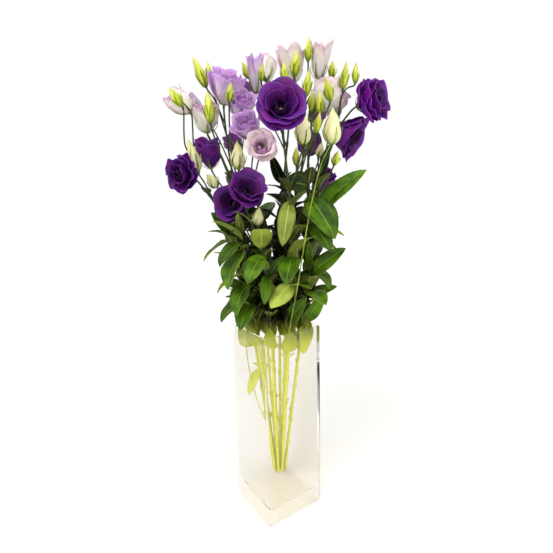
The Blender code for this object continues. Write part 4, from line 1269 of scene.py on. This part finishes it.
def build_stem(order, stem, grown, leaves):
    """A stem with its side shoots as one piece, and its leaves as another."""
    rng = np.random.default_rng(STEM_SEED + order)
    wood = Sheets()
    line = smooth_line(grown[stem], 150)
    walked = np.linspace(0, 1, len(line))
    above_node = (line[:, 2] + NODE_SHIFT * order) % NODE_SPACING
    from_node = np.minimum(above_node, NODE_SPACING - above_node)
    knots = NODE_SWELLING * np.exp(-((from_node / NODE_LENGTH) ** 2))
    cane(wood, line, (STEM_RADIUS - (STEM_RADIUS - NECK_RADIUS) * walked**2) * (1 + knots), 10)
    for head in HEADS + GREEN_BUDS:
        if head.stem == stem and head.name != SEATS[stem].leader:
            shoot = smooth_line(grown[head.name], 30)
            step = np.linspace(0, 1, len(shoot))
            flare = 1 + 0.45 * np.exp(-step / 0.05) + 0.35 * np.exp(-(1 - step) / 0.04)
            cane(wood, shoot, SHOOT_RADIUS * flare, 8)
    wood.piece(stem + "_cane", [STEM], "stem", [stem])
    if stem in LOOSE_SHOOTS:
        points, foot = LOOSE_SHOOTS[stem]
        loose = smooth_line(np.array([*points, point_at(grown[stem], foot)], float), LOOSE_POINTS)
        shoot = Sheets()
        cane(shoot, loose, np.full(LOOSE_POINTS, LOOSE_RADIUS), 8)
        shoot.piece(stem + "_loose_shoot", [SEPAL], "stem")
    blades = Sheets()
    crowded = filling_leaves(stem, grown[stem], rng) + leaf_stubs(order, stem, grown[stem], rng)
    for leaf in leaves + crowded + LOW_LEAVES:
        if leaf.stem == stem:
            leaf_sheet(blades, point_at(grown[stem], leaf.height), leaf, rng, 10, 6)
    if blades.count:
        thicken(blades.piece(stem + "_leaves", [LEAF_UPPER, LEAF_UNDER], "leaf"), BLADE_THICKNESS, 1)


def leaf_stubs(order, stem, line, rng):
    """What is left of the lowest leaves of one stem: a short pair at each node inside the vase."""
    made = []
    first = STUBS_FROM + (-NODE_SHIFT * order - STUBS_FROM) % NODE_SPACING
    for height in np.arange(first, STUBS_TO, NODE_SPACING):
        start = point_at(line, height)
        across = rng.uniform(0, 360)
        for turn in (across, across + 180):
            tip = start + rng.uniform(5, 11) * facing(turn, rng.uniform(20, 60))
            made.append(Leaf("stub", stem, height, tuple(tip), rng.uniform(3.5, 6), 0.5, turn, -50))
    return made


def has_room(start, tip):
    """Whether a leaf from start to tip keeps off the vase's glass and out of the heads."""
    for share in (0.4, 0.7, 1.0):
        point = start + share * (tip - start)
        x, y, _ = BUNCH.to_3x3().normalized() @ Vector(point)
        if point[2] < MOUTH_HEIGHT + 10 and max(abs(x), abs(y)) > GLASS_ROOM:
            return False
        for head in HEADS + GREEN_BUDS:
            if np.linalg.norm(point - head.at) < BLOOM_ROOM * head.width:
                return False
        if np.linalg.norm(point - PALE_LEAF) < PALE_LEAF_ROOM:
            return False
    return True


def filling_leaves(stem, line, rng):
    """The crowded small leaves of one stem, each pair a quarter turn from the last."""
    made = []
    outward = SEATS[stem].angle + 90
    start_at = rng.uniform(0, 14)
    for pair, height in enumerate(FILL_HEIGHTS):
        height += start_at
        start = point_at(line, height)
        steeper = RIM_LIFT * (height < MOUTH_HEIGHT + RIM_REACH)
        growth = 1.1 - 0.35 * (height - FILL_FROM) / (FILL_TO - FILL_FROM)
        for side in (-1, 1):
            turn = outward + 90 * side + 90 * (pair % 2) + rng.uniform(-FILL_STRAY, FILL_STRAY)
            lift = rng.uniform(FILL_LIFTS[0] + steeper, FILL_LIFTS[1])
            length = rng.uniform(*FILL_LENGTHS) * growth
            tip = start + length * facing(turn, lift)
            face = lift + rng.uniform(*FILL_FACES)
            width = length * rng.uniform(*FILL_WIDTHS)
            if has_room(start, tip):
                made.append(Leaf("fill", stem, height, tuple(tip), width, 0.1 * length, turn, face))
    return made


def build_leaf(order, leaf, trimmed_lines):
    """A large leaf, clasping its stem."""
    rng = np.random.default_rng(LEAF_SEED + order)
    base = leaf_base(leaf, trimmed_lines)
    centre = point_at(trimmed_lines[leaf.stem], leaf.height)
    sheet = Sheets()
    leaf_sheet(sheet, centre + 0.35 * (base - centre), leaf, rng)
    blade_piece = sheet.piece(leaf.name + "_blade", [LEAF_UPPER, LEAF_UNDER], "leaf", [leaf.name])
    thicken(blade_piece, BLADE_THICKNESS, 1)


# ---------------------------------------------------------------- vase

CORNER_STEPS = 6
SHARPEST = math.radians(70)  # edges that turn more than this stay sharp


def square_ring(half, corner, height):
    """A square ring of points with rounded corners, in metres."""
    points = []
    for quarter in range(4):
        middle = math.radians(90 * quarter + 45)
        cx, cy = [(half - corner) * math.copysign(1, f(middle)) for f in (math.cos, math.sin)]
        for k in range(CORNER_STEPS + 1):
            angle = math.radians(90 * (quarter + k / CORNER_STEPS))
            points.append((cx + corner * math.cos(angle), cy + corner * math.sin(angle), height))
    return points


def build_vase():
    """The vase as one pressed glass body: a fire-polished rim, rounded corners, and a thick foot whose
    inner floor curves up into the walls."""
    high = Vector(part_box("vase")[1])
    half, tall = high.x, high.z
    inner, floor = half - VASE_WALL, VASE_BASE
    # each ring's half width, corner radius and height in metres: up the outside, over the rim and down
    rings = [
        (0.55 * half, 0.002, 0.0004), (half - 0.004, 0.003, 0.0002), (half - 0.002, 0.003, 0.0),
        (half - 0.0006, 0.003, 0.0008), (half, 0.003, 0.0025), (half, 0.003, tall / 2),
        (half, 0.003, tall - 0.0018), (half - 0.0005, 0.0026, tall - 0.0005), (half - 0.0018, 0.0022, tall),
        (inner + 0.0006, 0.0018, tall - 0.0006), (inner, 0.0016, tall - 0.0022), (inner, 0.0016, tall / 2),
        (inner, 0.0016, floor + 0.012), (inner - 0.0008, 0.003, floor + 0.005),
        (inner - 0.003, 0.005, floor + 0.0018), (inner - 0.008, 0.007, floor + 0.0004),
        (inner - 0.018, 0.008, floor), (0.4 * inner, 0.006, floor),
    ]
    work = Sheets()
    work.add(np.array([square_ring(*ring) for ring in rings]), closed=True)
    work.end(len(rings), 4 * (CORNER_STEPS + 1), True)
    work.end(len(rings), 4 * (CORNER_STEPS + 1), False)
    vase = work.piece("vase_glass", [GLASS], "glass", ["vase"], Matrix.Identity(4))
    vase.data.set_sharp_from_angle(angle=SHARPEST)
    shell = bmesh.new()
    shell.from_mesh(vase.data)
    bmesh.ops.recalc_face_normals(shell, faces=shell.faces)
    shell.to_mesh(vase.data)
    shell.free()


# ---------------------------------------------------------------- studio

SHELL_RADIUS = 12  # in metres
SKY = 0.50

# Each lamp: its turn and lift as for a head, how wide it looks in degrees, and its strength.
LAMPS = [("key", -34, 42, 45, 2.0), ("fill", 50, 32, 60, 1.2), ("back", 170, 45, 60, 0.5)]

# The camera, in the bunch's own axes: metres, radians, and the lens in mm
CAMERA_PLACE = (0.0053, -0.5931, 0.4942)
CAMERA_PITCH = 0.1892
CAMERA_ROLL = -0.0252
CAMERA_LENS = 25.62


def build_studio():
    """A white paper floor inside a white shell that only the eye and the glass see; soft light comes from
    the sky and from three broad lamps far off, so the floor is as bright at its edge as at the vase."""
    bpy.ops.mesh.primitive_plane_add(size=2 * SHELL_RADIUS)
    floor = bpy.context.object
    floor.name = "studio_floor"
    floor.data.materials.append(PAPER)
    bpy.ops.mesh.primitive_uv_sphere_add(segments=48, ring_count=24, radius=SHELL_RADIUS)
    shell = bpy.context.object
    shell.name = "studio_shell"
    shell.data.materials.append(SHELL)
    shell.visible_diffuse = False
    shell.visible_shadow = False
    world = bpy.data.worlds.new("studio")
    bpy.context.scene.world = world
    world.use_nodes = True
    sky = world.node_tree.nodes["Background"]
    sky.inputs[0].default_value = srgb("#FFFFFF")
    sky.inputs[1].default_value = SKY
    for name, turn, lift, softness, strength in LAMPS:
        lamp = bpy.data.lights.new(name, "SUN")
        lamp.energy = strength
        lamp.angle = math.radians(softness)
        lit = bpy.data.objects.new(name, lamp)
        way = BUNCH.to_3x3().normalized() @ Vector(facing(turn, lift))
        lit.rotation_euler = way.to_track_quat("Z", "Y").to_euler()
        bpy.context.scene.collection.objects.link(lit)


def build_camera():
    """The camera stands close in front of the bunch and looks a little down on it."""
    ahead = Vector((0, math.cos(CAMERA_PITCH), -math.sin(CAMERA_PITCH)))
    up = Vector((0, math.sin(CAMERA_PITCH), math.cos(CAMERA_PITCH)))
    right = Vector((1, 0, 0))
    tilt_right = right * math.cos(CAMERA_ROLL) + up * math.sin(CAMERA_ROLL)
    tilt_up = -right * math.sin(CAMERA_ROLL) + up * math.cos(CAMERA_ROLL)
    stand = Matrix((tilt_right, tilt_up, -ahead)).transposed().to_4x4()
    stand.translation = Vector(CAMERA_PLACE)
    lens = bpy.data.cameras.new("camera")
    lens.lens = CAMERA_LENS
    lens.sensor_width = 36
    lens.clip_start = 0.02
    camera = bpy.data.objects.new("camera", lens)
    camera.matrix_world = Matrix.Rotation(math.radians(BUNCH_TURN), 4, "Z") @ stand
    bpy.context.scene.collection.objects.link(camera)
    bpy.context.scene.camera = camera


def main():
    """The studio, then the vase, the stems with their leaves, the heads and the large leaves."""
    build_camera()
    build_studio()
    build_vase()
    grown = settled()
    lines = {name: trimmed(name, grown) for name in grown}
    small_leaves = SMALL_LEAVES + habit_leaves(lines)
    paths = {name: points for name, (points, _) in grown.items()}
    for name, path in paths.items():
        path[0] = lines[name][0]
    for order, stem in enumerate(SEATS):
        build_stem(order, stem, paths, small_leaves)
    for order, head in enumerate(HEADS):
        build_head(HEAD_SEED + order, head, finish_of(head), [head.name])
    for order, bud in enumerate(GREEN_BUDS):
        build_head(GREEN_BUD_SEED + order, bud, "stem", [])
    for order, leaf in enumerate(LEAVES):
        build_leaf(order, leaf, lines)


main()
bpy.context.scene.view_settings.view_transform = "Standard"
